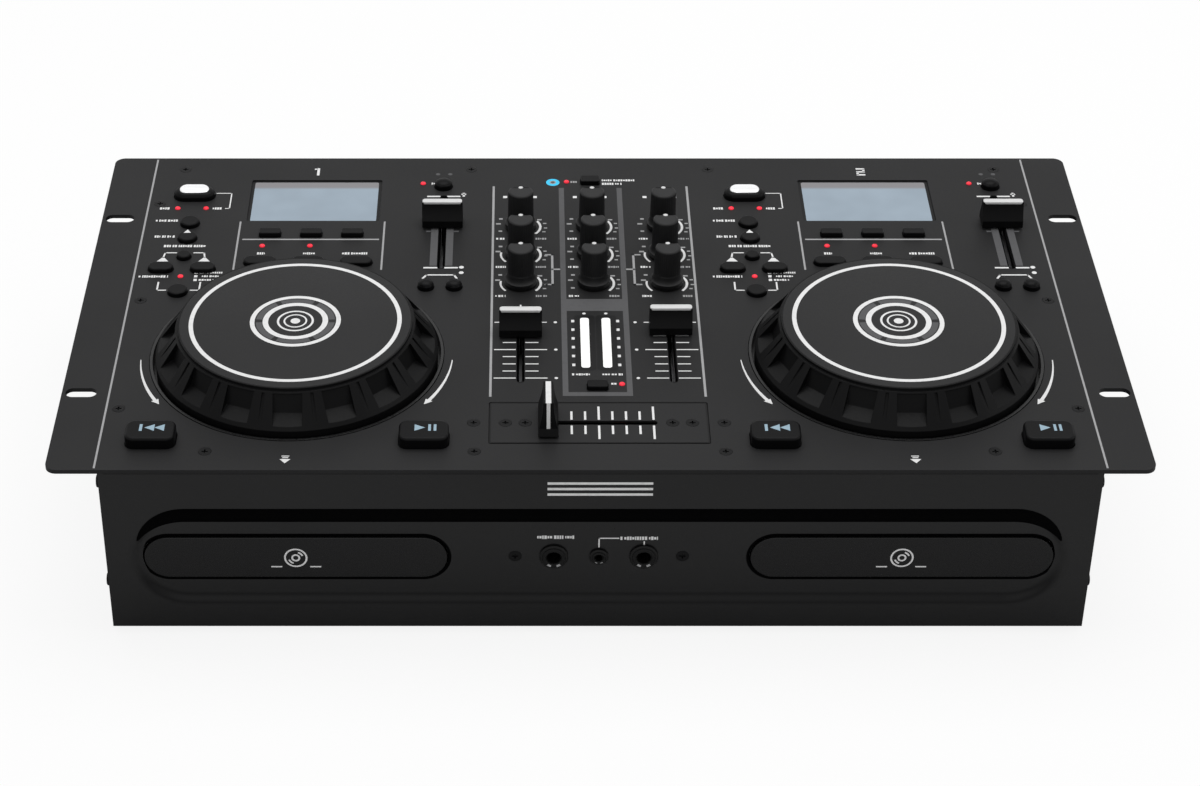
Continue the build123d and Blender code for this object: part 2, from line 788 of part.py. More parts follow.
with BuildPart() as level_meter:
    with BuildSketch(Plane.XY.offset(board_top)):
        with Locations(*[(sign * meter_x, back(meter_y)) for sign in (-1, 1)]):
            Rectangle(meter_width, meter_length)
    extrude(amount=panel_top - board_top)
save(level_meter, "level_meter")

# ---- circuit boards with their switches and pillars -----------------------------------------
with BuildPart() as control_board:
    board_length = board_back - board_front
    board_middle = back((board_back + board_front) / 2)
    with BuildSketch(Plane.XY.offset(board_top - board_thickness)):
        with Locations((0, board_middle)):
            Rectangle(mixer_board_width, board_length)
        with Locations(*[(x, board_middle) for x in deck_x.values()]):
            Rectangle(deck_board_width, board_length)
        with Locations(*[(x, back(jog_y)) for x in deck_x.values()]):
            Circle(well_outer + well_gap, mode=Mode.SUBTRACT)
    extrude(amount=board_thickness)
    switches_at = [(middle + key.x, back(key.y)) for keys, middle in all_key_groups().values()
                   for key in keys]
    with BuildSketch(Plane.XY.offset(board_top)):
        with Locations(*switches_at):
            Rectangle(switch_size, switch_size)
    extrude(amount=switch_height)
    with BuildSketch(Plane.XY.offset(board_top + switch_height)):
        with Locations(*switches_at):
            Circle(plunger_radius)
    extrude(amount=plunger_height)
    pillars_at = [(middle + x, back(y)) for middle in deck_x.values() for x, y in deck_pillars]
    pillars_at += [(sign * pillar_screw[0], back(pillar_screw[1])) for sign in (-1, 1)]
    with BuildSketch(Plane.XY.offset(board_top)):
        with Locations(*pillars_at):
            Circle(pillar_radius)
            Circle(screw_radius + screw_gap, mode=Mode.SUBTRACT)
    extrude(amount=board_drop)
save(control_board, "control_board")


# ---- knobs with their shafts ----------------------------------------------------------------
def knob(name, x, y):
    """A turning knob on its shaft: a low skirt that flares into a tall round grip, flat at its back."""
    bottom = panel_top + knob_lift
    flare = bottom + knob_skirt_height
    top = panel_top + knob_height
    with BuildPart() as turned:
        with BuildSketch(Plane((x, y, 0), x_dir=(1, 0, 0), z_dir=(0, -1, 0))):
            with BuildLine():
                Line((0, bottom), (knob_skirt_radius, bottom))
                Line((knob_skirt_radius, bottom), (knob_skirt_radius, flare))
                flank = TangentArc((knob_radius, flare + knob_flare_height), (knob_skirt_radius, flare),
                                   tangent=(0, -1))
                Line((knob_radius, flare + knob_flare_height), (knob_top_radius, top))
                Line((knob_top_radius, top), (0, top))
                Line((0, top), (0, bottom))
            make_face()
        revolve(axis=Axis((x, y, 0), (0, 0, 1)))
        fillet(turned.faces().sort_by(Axis.Z)[-1].edges(), 0.6)
        with BuildSketch(Plane.XY.offset(flare + knob_flare_height)):
            with Locations((x, y + knob_flat + knob_radius)):
                Rectangle(2 * knob_radius, 2 * knob_radius)
        extrude(amount=knob_height, mode=Mode.SUBTRACT)
        with BuildSketch(Plane.XY.offset(board_top + pot_height - shaft_depth)):
            with Locations((x, y)):
                Circle(shaft_radius)
        extrude(amount=bottom - (board_top + pot_height - shaft_depth))
    save(turned, name)


for row, row_y in knob_rows.items():
    for column, step in knob_columns.items():
        knob(f"knob_{column}_{row}", step * column_spacing, back(row_y))

# ---- rotary and slide potentiometers --------------------------------------------------------
with BuildPart() as potentiometers:
    knobs_at = [(step * column_spacing, back(y)) for step in knob_columns.values()
                for y in knob_rows.values()]
    with BuildSketch(Plane.XY.offset(board_top)):
        with Locations(*knobs_at):
            Rectangle(pot_size, pot_size)
    extrude(amount=pot_height)
    with BuildSketch(Plane.XY.offset(board_top + pot_height)):
        with Locations(*knobs_at):
            Circle(shaft_radius + shaft_gap + bushing_wall)
    extrude(amount=panel_top - bushing_sink - board_top - pot_height)
    with BuildSketch(Plane.XY.offset(board_top + pot_height - shaft_depth - shaft_gap)):
        with Locations(*knobs_at):
            Circle(shaft_radius + shaft_gap)
    extrude(amount=panel_top - board_top, mode=Mode.SUBTRACT)
    slides = [(x + pitch_x, pitch_middle, pitch_travel, track_end, 90) for x in deck_x.values()]
    slides += [(sign * column_spacing, channel_middle, channel_travel, track_end, 90) for sign in (-1, 1)]
    slides += [(0, crossfader_y, crossfader_travel, crossfader_end, 0)]
    for x, y, travel, end, turn in slides:
        place = Location((x, back(y), 0), (0, 0, turn))
        with BuildSketch(Plane.XY.offset(board_top)):
            with Locations(place):
                Rectangle(travel + lever_width + 2 * end, track_width)
        extrude(amount=track_height)
        with BuildSketch(Plane.XY.offset(board_top + track_height - lever_depth - lever_gap)):
            with Locations(place):
                Rectangle(travel + lever_width + 2 * lever_gap, lever_thickness + 2 * lever_gap)
        extrude(amount=track_height, mode=Mode.SUBTRACT)
    with Locations(*[(sign * plate_screws[1], back(crossfader_y), board_top + track_height)
                     for sign in (-1, 1)]):
        Hole(screw_radius + screw_gap, track_height - 1)
save(potentiometers, "potentiometers")


# ---- fader caps on their levers -------------------------------------------------------------
def fader(name, x, y, width, depth, turn, height=fader_height, ridge=fader_ridge, ends=None):
    """A fader cap, its two long faces hollowed to a ridge, on a flat steel lever.

    ends, if the two short faces slope as well, is how far they come in over the foot and above it.
    """
    bottom = panel_top + fader_lift
    top = panel_top + height
    with BuildPart() as cap:
        place = Plane((x, y, 0), x_dir=(cos(radians(turn)), sin(radians(turn)), 0))
        across = Plane(place.origin, x_dir=place.y_dir, z_dir=place.x_dir)
        crest = ridge / 2
        foot = depth / 2 - fader_draft
        foot_top = bottom + fader_foot
        waist = ((crest + foot) / 2 - fader_hollow, (top + foot_top) / 2)
        with BuildSketch(across.offset(-width / 2)):
            with BuildLine():
                Line((-crest, top), (crest, top))
                ThreePointArc((crest, top), waist, (foot, foot_top))
                Polyline((foot, foot_top), (depth / 2, bottom), (-depth / 2, bottom), (-foot, foot_top))
                ThreePointArc((-foot, foot_top), (-waist[0], waist[1]), (-crest, top))
            make_face()
        extrude(amount=width)
        if ends:
            along = Plane(place.origin, x_dir=place.x_dir, z_dir=-place.y_dir)
            end = width / 2
            end_foot = end - ends[0]
            end_top = end_foot - ends[1]
            with BuildSketch(along.offset(-depth)):
                with BuildLine():
                    Polyline((-end, bottom), (end, bottom), (end_foot, foot_top), (end_top, top),
                             (-end_top, top), (-end_foot, foot_top), (-end, bottom))
                make_face()
            extrude(amount=2 * depth, mode=Mode.INTERSECT)
        with BuildSketch(place.offset(board_top + track_height - lever_depth)):
            Rectangle(lever_thickness, lever_width)
        extrude(amount=bottom + 1 - (board_top + track_height - lever_depth))
    save(cap, name)


for side in sides:
    fader(f"pitch_fader_{side}", deck_x[side] + pitch_x, back(pitch_rest), fader_width, fader_depth, 0)
    fader(f"channel_fader_{side}", sides[side] * column_spacing, back(channel_rest[side]), fader_width,
          fader_depth, 0)
fader("crossfader", -crossfader_travel / 2, back(crossfader_y), crossfader_cap_length,
      crossfader_cap_width, 90, crossfader_cap_height, crossfader_ridge,
      (crossfader_end_foot, crossfader_end_draft))

with BuildPart() as crossfader_plate:
    with BuildSketch(Plane.XY.offset(panel_top - plate_thickness)):
        with Locations((0, back(crossfader_y))):
            RectangleRounded(plate_width, plate_depth, plate_corner)
            SlotOverall(crossfader_travel + lever_width + 2 * slot_spare, slot_width, mode=Mode.SUBTRACT)
    extrude(amount=plate_thickness)
    with Locations(*[(x, y, panel_top) for x, y in plate_screws_at]):
        CounterSinkHole(screw_radius + screw_gap, screw_head_radius + screw_gap, panel_thickness,
                        2 * screw_taper)
save(crossfader_plate, "crossfader_plate")


# ---- disc trays -----------------------------------------------------------------------------
tooth_pitch = pi * gear_module
gear_radius = gear_module * gear_teeth / 2
tray_back = tray_front + tray_length
rack_teeth = int((tray_travel + 2 * gear_radius) / tooth_pitch)


def disc_tray(name, middle):
    """A sliding tray behind its front door, with two disc wells, a pickup opening and a toothed rack."""
    with BuildPart() as tray:
        with BuildSketch(Plane.XZ.offset(-tray_front)):
            with Locations((middle, door_z)):
                SlotOverall(door_width, door_height)
        extrude(amount=door_wall)
        fillet(tray.faces().sort_by(Axis.Y)[0].edges(), 0.6)
        with BuildSketch(Plane.XY.offset(tray_bottom)):
            with Locations((middle, tray_front + tray_length / 2)):
                Rectangle(tray_width, tray_length)
        extrude(amount=tray_thickness)
        with BuildSketch(Plane.XY.offset(tray_top - disc_well_depth)):
            with Locations((middle, back(disc_centre))):
                Circle(disc_radius + disc_gap)
        extrude(amount=disc_well_depth, mode=Mode.SUBTRACT)
        with BuildSketch(Plane.XY.offset(tray_top - disc_well_depth - small_well_depth)):
            with Locations((middle, back(disc_centre))):
                Circle(small_disc_radius + disc_gap)
        extrude(amount=small_well_depth, mode=Mode.SUBTRACT)
        with BuildSketch(Plane.XY.offset(tray_bottom)):
            with Locations((middle, back(disc_centre) + (pickup_back - pickup_front) / 2)):
                RectangleRounded(pickup_width, pickup_back + pickup_front, pickup_width / 2 - 1)
        extrude(amount=tray_thickness, mode=Mode.SUBTRACT)
        pitch_line = middle + rack_x
        rack_front = back(gear_y) - gear_radius
        rack_length = (rack_teeth + 1) * tooth_pitch
        with BuildSketch(Plane.XY.offset(tray_bottom - rack_height)):
            with Locations((pitch_line - 1.25 * gear_module - rack_back / 2, rack_front + rack_length / 2)):
                Rectangle(rack_back, rack_length)
            half_root = tooth_pitch / 4 + 1.25 * gear_module * tan(radians(20))
            half_tip = tooth_pitch / 4 - gear_module * tan(radians(20))
            for step in range(-int(gear_radius / tooth_pitch), rack_teeth - 3):
                tooth_y = back(gear_y) + (step + 0.5) * tooth_pitch
                with BuildLine():
                    Polyline((pitch_line - 1.25 * gear_module - 0.1, tooth_y - half_root),
                             (pitch_line + gear_module, tooth_y - half_tip),
                             (pitch_line + gear_module, tooth_y + half_tip),
                             (pitch_line - 1.25 * gear_module - 0.1, tooth_y + half_root), close=True)
                make_face()
        extrude(amount=rack_height)
    save(tray, name)


for side in sides:
    disc_tray(f"disc_tray_{side}", drive_x[side])


# ---- tray gears -----------------------------------------------------------------------------
def involute_half_angle(radius):
    """Half the angle that a gear tooth takes up at a radius, less half the backlash."""
    base = gear_radius * cos(radians(20))
    at_pitch = pi / (2 * gear_teeth) - gear_backlash / (2 * gear_radius)
    inv_pitch = tan(radians(20)) - radians(20)
    if radius <= base:
        return at_pitch + inv_pitch
    roll = sqrt((radius / base) ** 2 - 1)
    return at_pitch + inv_pitch - (roll - atan2(roll, 1))


def tray_gear(name, middle):
    """The wheel that drives a tray by its rack."""
    centre = (middle + rack_x + gear_radius, back(gear_y))
    root = gear_radius - 1.25 * gear_module
    tip = gear_radius + 0.9 * gear_module
    radii = (root, gear_radius * cos(radians(20)), gear_radius, tip)
    with BuildPart() as gear:
        with BuildSketch(Plane((*centre, tray_bottom - gear_play - gear_height))):
            Circle(root)
            for tooth in range(gear_teeth):
                middle_angle = 2 * pi * tooth / gear_teeth
                flank = [(r * cos(middle_angle - involute_half_angle(r)),
                          r * sin(middle_angle - involute_half_angle(r))) for r in radii]
                other = [(r * cos(middle_angle + involute_half_angle(r)),
                          r * sin(middle_angle + involute_half_angle(r))) for r in reversed(radii)]
                with BuildLine():
                    Polyline((0, 0), *flank, *other, close=True)
                make_face()
            Circle(post_radius + bearing_gap, mode=Mode.SUBTRACT)
        extrude(amount=gear_height)
    save(gear, name)


for side in sides:
    tray_gear(f"tray_gear_{side}", drive_x[side])

# ---- disc drives: frame, rails, clamp bridge, spindle, pickup and loading motor --------------
base_top = tray_bottom - drive_base_drop
rail_x = tray_width / 2 + rail_gap
drive_length = drive_back - drive_front
drive_middle = back((drive_front + drive_back) / 2)
with BuildPart() as disc_drives:
    for middle in drive_x.values():
        spindle = (middle, back(disc_centre))
        with BuildSketch(Plane.XY.offset(base_top - drive_plate)):
            with Locations((middle, drive_middle)):
                Rectangle(2 * (rail_x + rail_wall), drive_length)
        extrude(amount=drive_plate)
        with BuildSketch(Plane.XY.offset(foot_height + case_wall)):
            with Locations((middle, drive_middle)):
                with GridLocations(2 * (rail_x - leg_inset), drive_length - 2 * leg_inset, 2, 2):
                    Circle(leg_radius)
        extrude(amount=base_top - drive_plate - foot_height - case_wall)
        # side walls with a lip over and a ledge under each edge of the tray
        with BuildSketch(Plane.XY.offset(base_top)):
            with Locations(*[(middle + sign * (rail_x + rail_wall / 2), drive_middle) for sign in (-1, 1)]):
                Rectangle(rail_wall, drive_length)
        extrude(amount=tray_top + rail_gap + rail_lip_height - base_top)
        for level in (tray_top + rail_gap, tray_bottom - rail_gap - rail_lip_height):
            with BuildSketch(Plane.XY.offset(level)):
                with Locations(*[(middle + sign * (rail_x - rail_lip / 2), drive_middle)
                                 for sign in (-1, 1)]):
                    Rectangle(rail_lip, drive_length)
            extrude(amount=rail_lip_height)
        # clamp bridge over the disc's middle
        lip_top = tray_top + rail_gap + rail_lip_height
        with BuildSketch(Plane.XY.offset(lip_top)):
            with Locations(*[(middle + sign * (rail_x + rail_wall / 2), spindle[1]) for sign in (-1, 1)]):
                Rectangle(rail_wall, bridge_depth)
        extrude(amount=tray_top + bridge_rise - lip_top)
        with BuildSketch(Plane.XY.offset(tray_top + bridge_rise)):
            with Locations(spindle):
                Rectangle(2 * (rail_x + rail_wall), bridge_depth)
                Circle(clamp_radius + 2)
        extrude(amount=bridge_height)
        with BuildSketch(Plane.XY.offset(tray_top + bridge_rise - clamp_height)):
            with Locations(spindle):
                Circle(clamp_radius)
        extrude(amount=clamp_height)
        # spindle motor and hub, pickup sled on its rods, loading motor, and the post of the tray gear
        with BuildSketch(Plane.XY.offset(base_top)):
            with Locations(spindle):
                Circle(spindle_radius)
            with Locations((middle + motor_x, back(gear_y + motor_radius / 2))):
                Circle(motor_radius)
        extrude(amount=drive_base_drop / 2)
        with BuildSketch(Plane.XY.offset(base_top)):
            with Locations(spindle):
                Circle(hub_radius)
            with Locations((middle + rack_x + gear_radius, back(gear_y))):
                Circle(post_radius)
        extrude(amount=drive_base_drop - hub_clear)
        with BuildSketch(Plane.XY.offset(base_top)):
            with Locations((middle + rack_x + gear_radius, back(gear_y))):
                Circle(2 * post_radius)
        extrude(amount=drive_base_drop - gear_play - gear_height - gear_play / 2)
        rod_y = spindle[1] + sled_back
        with BuildSketch(Plane.XY.offset(base_top)):
            with Locations((middle, rod_y)):
                Rectangle(sled_size[0], sled_size[1])
        extrude(amount=drive_base_drop / 2)
        with BuildSketch(Plane.XY.offset(base_top)):
            with Locations((middle, rod_y)):
                with GridLocations(rod_spacing, rod_length, 2, 2):
                    Rectangle(2.5 * rod_radius, 2 * rod_radius)
        extrude(amount=drive_base_drop / 2)
        with BuildSketch(Plane.XZ.offset(-(rod_y - rod_length / 2))):
            with Locations(*[(middle + sign * rod_spacing / 2, base_top + drive_base_drop / 4)
                             for sign in (-1, 1)]):
                Circle(rod_radius)
        extrude(amount=-rod_length)
        with BuildSketch(Plane.XY.offset(base_top + drive_base_drop / 8)):
            with Locations((middle, rod_y)):
                Rectangle(rod_spacing + 4 * rod_radius, sled_size[1] / 2)
        extrude(amount=sled_size[2])
save(disc_drives, "disc_drives")

# ---- main board on the case floor -----------------------------------------------------------
with BuildPart() as main_board:
    board_place = Plane((0, back(main_board_y), foot_height + case_wall))
    width, length = main_board_size
    with BuildSketch(board_place):
        with GridLocations(width - 4 * standoff_radius, length - 4 * standoff_radius, 2, 2):
            Circle(standoff_radius)
    extrude(amount=main_board_lift)
    top = board_place.offset(main_board_lift)
    with BuildSketch(top):
        Rectangle(width, length)
    extrude(amount=board_thickness)
    parts_on = top.offset(board_thickness)
    with BuildSketch(parts_on):
        with Locations((width / 4, length / 4)):
            Rectangle(transformer_size[0], transformer_size[1])
    extrude(amount=transformer_size[2])
    with BuildSketch(parts_on):
        with Locations((-width / 4, length / 4)):
            with GridLocations(3 * capacitor_radius, 3 * capacitor_radius, 2, 2):
                Circle(capacitor_radius)
    extrude(amount=capacitor_height)
    with BuildSketch(parts_on):
        with Locations((0, -length / 12)):
            Rectangle(heatsink_size[0], heatsink_size[1])
            with GridLocations(heatsink_size[0] / 8, 0, 8, 1):
                with Locations((0, heatsink_size[1] / 4)):
                    Rectangle(heatsink_size[0] / 16, heatsink_size[1] / 2, mode=Mode.SUBTRACT)
    extrude(amount=heatsink_size[2])
    with BuildSketch(parts_on):
        with Locations((0, -length / 3)):
            with GridLocations(2 * processor_size[0], 0, 2, 1):
                Rectangle(processor_size[0], processor_size[1])
    extrude(amount=processor_size[2])
save(main_board, "main_board")

# ---- front jacks ----------------------------------------------------------------------------
with BuildPart() as front_jacks:
    panel_back = recess_floor + front_wall
    for x, (bore, depth, bushing, ring, body) in jacks.items():
        with BuildSketch(Plane.XZ.offset(-panel_back)):
            with Locations((x, door_z)):
                Rectangle(body, body)
        extrude(amount=-(depth - front_wall))
        with BuildSketch(Plane.XZ.offset(-panel_back)):
            with Locations((x, door_z)):
                Circle(bushing)
        extrude(amount=front_wall + jack_ring_height)
        with BuildSketch(Plane.XZ.offset(-recess_floor)):
            with Locations((x, door_z)):
                Circle(ring)
        extrude(amount=jack_ring_height)
        chamfer(front_jacks.faces(Select.LAST).sort_by(Axis.Y)[0].edges(), 0.5)
        with BuildSketch(Plane.XZ.offset(-(recess_floor - jack_ring_height))):
            with Locations((x, door_z)):
                Circle(bore)
        extrude(amount=-depth, mode=Mode.SUBTRACT)
save(front_jacks, "front_jacks")

# ---- rear sockets, mains inlet and switch housing -------------------------------------------
with BuildPart() as rear_sockets:
    for x in rca_columns:
        for z in rca_rows:
            with BuildSketch(Plane.XZ.offset(-rear_inner)):
                with Locations((x, z)):
                    Rectangle(rca_body, rca_body)
            extrude(amount=rca_body_depth)
            with BuildSketch(Plane.XZ.offset(-rear_inner)):
                with Locations((x, z)):
                    Circle(rca_sleeve_radius)
            extrude(amount=-(case_wall + rca_length))
            with BuildSketch(Plane.XZ.offset(-rear_face)):
                with Locations((x, z)):
                    Circle(rca_flange_radius)
            extrude(amount=-rca_flange_height)
            with BuildSketch(Plane.XZ.offset(-(rear_face + rca_length))):
                with Locations((x, z)):
                    Circle(rca_bore_radius)
            extrude(amount=rca_bore_depth, mode=Mode.SUBTRACT)
    with BuildSketch(Plane.XZ.offset(-rear_face)):
        with Locations((inlet_x, inlet_z)):
            Rectangle(*inlet_flange)
    extrude(amount=-inlet_flange_height)
    with BuildSketch(Plane.XZ.offset(-rear_face)):
        with Locations((inlet_x, inlet_z)):
            Rectangle(inlet_cavity[0] + 2 * inlet_wall, inlet_cavity[1] + 2 * inlet_wall)
    extrude(amount=inlet_depth + inlet_wall)
    with BuildSketch(Plane.XZ.offset(-(rear_face + inlet_flange_height))):
        with Locations((inlet_x, inlet_z)):
            RectangleRounded(*inlet_cavity, 2.0)
    extrude(amount=inlet_depth + inlet_flange_height, mode=Mode.SUBTRACT)
    with BuildSketch(Plane.XZ.offset(-(rear_face - inlet_depth))):
        for x, z in inlet_pins:
            with Locations((inlet_x + x, inlet_z + z)):
                Rectangle(inlet_pin[0], inlet_pin[1])
    extrude(amount=-inlet_pin[2])
    # housing of the mains switch, open in front, with a wall on each side that the rocker's pin turns in
    with BuildSketch(Plane.XZ.offset(-rear_face)):
        with Locations((switch_x, inlet_z)):
            Rectangle(housing_width, housing_height)
    extrude(amount=switch_depth)
    with BuildSketch(Plane.XZ.offset(-rear_face)):
        with Locations((switch_x, inlet_z)):
            Rectangle(housing_width + 2 * switch_wall, housing_height + 2 * switch_wall)
    extrude(amount=-rca_flange_height)
    with BuildSketch(Plane.XZ.offset(-(rear_face + rca_flange_height))):
        with Locations((switch_x, inlet_z)):
            Rectangle(housing_width - 2 * switch_wall, housing_height - 2 * switch_wall)
    extrude(amount=switch_depth - switch_wall + rca_flange_height, mode=Mode.SUBTRACT)
    with BuildSketch(Plane.YZ.offset(switch_x - housing_width / 2)):
        with Locations((rear_face - rocker_pivot, inlet_z)):
            Circle(rocker_pin_radius + bearing_gap)
    extrude(amount=housing_width, mode=Mode.SUBTRACT)
save(rear_sockets, "rear_sockets")

# ---- mains switch rocker, resting with its lower half out ------------------------------------
with BuildPart() as power_switch:
    tilt = radians(rocker_swing / 2)
    pivot = Vector(switch_x, rear_face - rocker_pivot, inlet_z)
    rocker_plane = Plane(pivot, x_dir=(0, cos(tilt), sin(tilt)), z_dir=(1, 0, 0))
    crest = rocker_pivot + rocker_crest
    with BuildSketch(rocker_plane.offset(-rocker_width / 2)):
        with BuildLine():
            Polyline((-rocker_back, 1 - rocker_height / 2), (crest, -rocker_height / 2),
                     (crest - rocker_height / 2 * tan(tilt), 0), (crest, rocker_height / 2),
                     (-rocker_back, rocker_height / 2 - 1), close=True)
        make_face()
    extrude(amount=rocker_width)
    pin_reach = rocker_width / 2 + rocker_gap + rocker_pin_sink
    with BuildSketch(rocker_plane.offset(-pin_reach)):
        Circle(rocker_pin_radius)
    extrude(amount=2 * pin_reach)
save(power_switch, "power_switch")
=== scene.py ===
"""Looks of a twin disc player with a mixer between its decks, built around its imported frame.

Lengths inside this file are millimetres in the panel's own terms: x is across from the middle of
the panel or of a deck, y is back from the panel's front edge, and heights count from the panel's
top face. Place turns them into the frame's metres.
"""
from __future__ import annotations

import logging
import math
import random
from dataclasses import dataclass, field
from enum import Enum
from typing import Iterable, Sequence

import bmesh
import bpy
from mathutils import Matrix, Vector

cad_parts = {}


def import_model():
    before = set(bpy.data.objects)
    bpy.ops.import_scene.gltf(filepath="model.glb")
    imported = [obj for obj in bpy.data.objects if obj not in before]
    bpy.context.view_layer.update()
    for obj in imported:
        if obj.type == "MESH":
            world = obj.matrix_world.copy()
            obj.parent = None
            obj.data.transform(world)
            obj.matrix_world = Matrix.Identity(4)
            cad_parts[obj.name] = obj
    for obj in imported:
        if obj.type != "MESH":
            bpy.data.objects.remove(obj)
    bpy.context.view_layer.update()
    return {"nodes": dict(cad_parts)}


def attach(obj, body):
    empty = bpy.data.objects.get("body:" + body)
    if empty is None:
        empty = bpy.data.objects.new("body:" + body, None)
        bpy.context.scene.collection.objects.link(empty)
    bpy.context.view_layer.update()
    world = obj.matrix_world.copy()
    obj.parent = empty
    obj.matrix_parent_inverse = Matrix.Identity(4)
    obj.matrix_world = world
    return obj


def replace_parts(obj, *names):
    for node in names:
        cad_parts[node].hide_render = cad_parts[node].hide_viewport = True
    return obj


LOG = logging.getLogger("twin_player")
MM = 0.001
PANEL_DEPTH = 265.9
PANEL_TOP = 92.6
PANEL_UNDERSIDE = -2.0
DECK_X = 137.3
JOG_Y = 88.7
PITCH_X = 64.1
CHANNEL_X = 34.8
CROSSFADER_Y = 35.1
DISPLAY_BACK = 244.3
DOOR_X = 134.6
DOOR_DROP = 50.3
DOOR_WIDTH = 134.6
DOOR_HEIGHT = 22.2
FRONT_FACE = 1.0
RECESS_DEPTH = 2.5
RECESS_END = 182.55
RECESS_RADIUS = 26.75
RECESS_SLOPE = 7.5
REAR_FACE = 258.5
INK_LIFT = 0.04
BLOCK_WIDTHS = (0.55, 1.15)
BLOCK_HEIGHTS = (1.0, 1.0, 0.72)
BLOCK_GAPS = (0.3, 0.3, 0.32, 0.8)
LENS_PROFILE = ((1.35, 0.0), (1.33, 0.3), (1.15, 0.55), (0.8, 0.72), (0.3, 0.8))

Pair = tuple[float, float]
Triple = tuple[float, float, float]
Colour = Triple


class Side(Enum):
    """The two decks, with the sign of their x."""

    LEFT = -1
    RIGHT = 1

    @property
    def word(self) -> str:
        """The side's name as the frame's bodies spell it."""
        return self.name.lower()

    @property
    def deck_x(self) -> float:
        """Across-panel place of the deck's jog wheel."""
        return self.value * DECK_X

    @property
    def door_x(self) -> float:
        """Across-panel place of the deck's tray door."""
        return self.value * DOOR_X


# ---- finishes -------------------------------------------------------------------------------


class Wiring:
    """Lays out the nodes of one material."""

    def __init__(self, name: str) -> None:
        """Starts a material that holds a single principled surface.

        Args:
            name: the material's name.
        """
        self.material = bpy.data.materials.new(name)
        self.material.use_nodes = True
        self.tree = self.material.node_tree
        self.surface = self.tree.nodes["Principled BSDF"]

    def node(self, kind: str, settings: dict | None = None, **sockets: object) -> bpy.types.Node:
        """Adds a node.

        Args:
            kind: the node's type without its common prefix.
            settings: attributes to set on the node.
            sockets: input values, with underscores for spaces.
        Returns:
            The new node.
        """
        made = self.tree.nodes.new("ShaderNode" + kind)
        for key, value in (settings or {}).items():
            setattr(made, key, value)
        for key, value in sockets.items():
            made.inputs[key.replace("_", " ")].default_value = value
        return made

    def link(self, start: bpy.types.NodeSocket, end: bpy.types.NodeSocket) -> None:
        """Joins an output to an input."""
        self.tree.links.new(start, end)

    def spread(self, scale: float, detail: float = 3.0, stretch: Sequence[float] = (1, 1, 1)
               ) -> bpy.types.NodeSocket:
        """Noise over the piece.

        Args:
            scale: noise cells in a metre.
            detail: octaves of finer noise.
            stretch: how much each axis is stretched.
        Returns:
            The noise's factor output.
        """
        where = self.node("TexCoord")
        turned = self.node("Mapping")
        turned.inputs["Scale"].default_value = stretch
        noise = self.node("TexNoise", Scale=scale, Detail=detail)
        self.link(where.outputs["Object"], turned.inputs["Vector"])
        self.link(turned.outputs["Vector"], noise.inputs["Vector"])
        return noise.outputs["Fac"]

    def ramp(self, factor: bpy.types.NodeSocket, low: Colour, high: Colour,
             ends: Pair = (0.3, 0.7)) -> bpy.types.NodeSocket:
        """A colour that runs from low to high with a factor.

        Args:
            factor: the factor's output.
            low: colour at the first end.
            high: colour at the second end.
            ends: factors at which the two colours are reached.
        Returns:
            The colour output.
        """
        made = self.node("ValToRGB")
        for element, place, colour in zip(made.color_ramp.elements, ends, (low, high)):
            element.position = place
            element.color = (*colour, 1)
        self.link(factor, made.inputs["Fac"])
        return made.outputs["Color"]

    def span(self, factor: bpy.types.NodeSocket, low: float, high: float) -> bpy.types.NodeSocket:
        """A number that runs from low to high while a factor goes from 0.3 to 0.7.

        Args:
            factor: the factor's output.
            low: the number at the first end.
            high: the number at the second end.
        Returns:
            The number's output.
        """
        made = self.node("MapRange", From_Min=0.3, From_Max=0.7, To_Min=low, To_Max=high)
        self.link(factor, made.inputs["Value"])
        return made.outputs["Result"]

    def relief(self, height: bpy.types.NodeSocket, depth: float, strength: float,
               edge: float) -> None:
        """Adds fine relief and softened edges to the surface.

        Args:
            height: output that holds the relief.
            depth: the relief's depth in metres.
            strength: how much of it is used.
            edge: radius of the softened edges in metres.
        """
        bump = self.node("Bump", Strength=strength, Distance=depth)
        self.link(height, bump.inputs["Height"])
        if edge > 0:
            soft = self.node("Bevel", {"samples": 4}, Radius=edge)
            self.link(soft.outputs["Normal"], bump.inputs["Normal"])
        self.link(bump.outputs["Normal"], self.surface.inputs["Normal"])


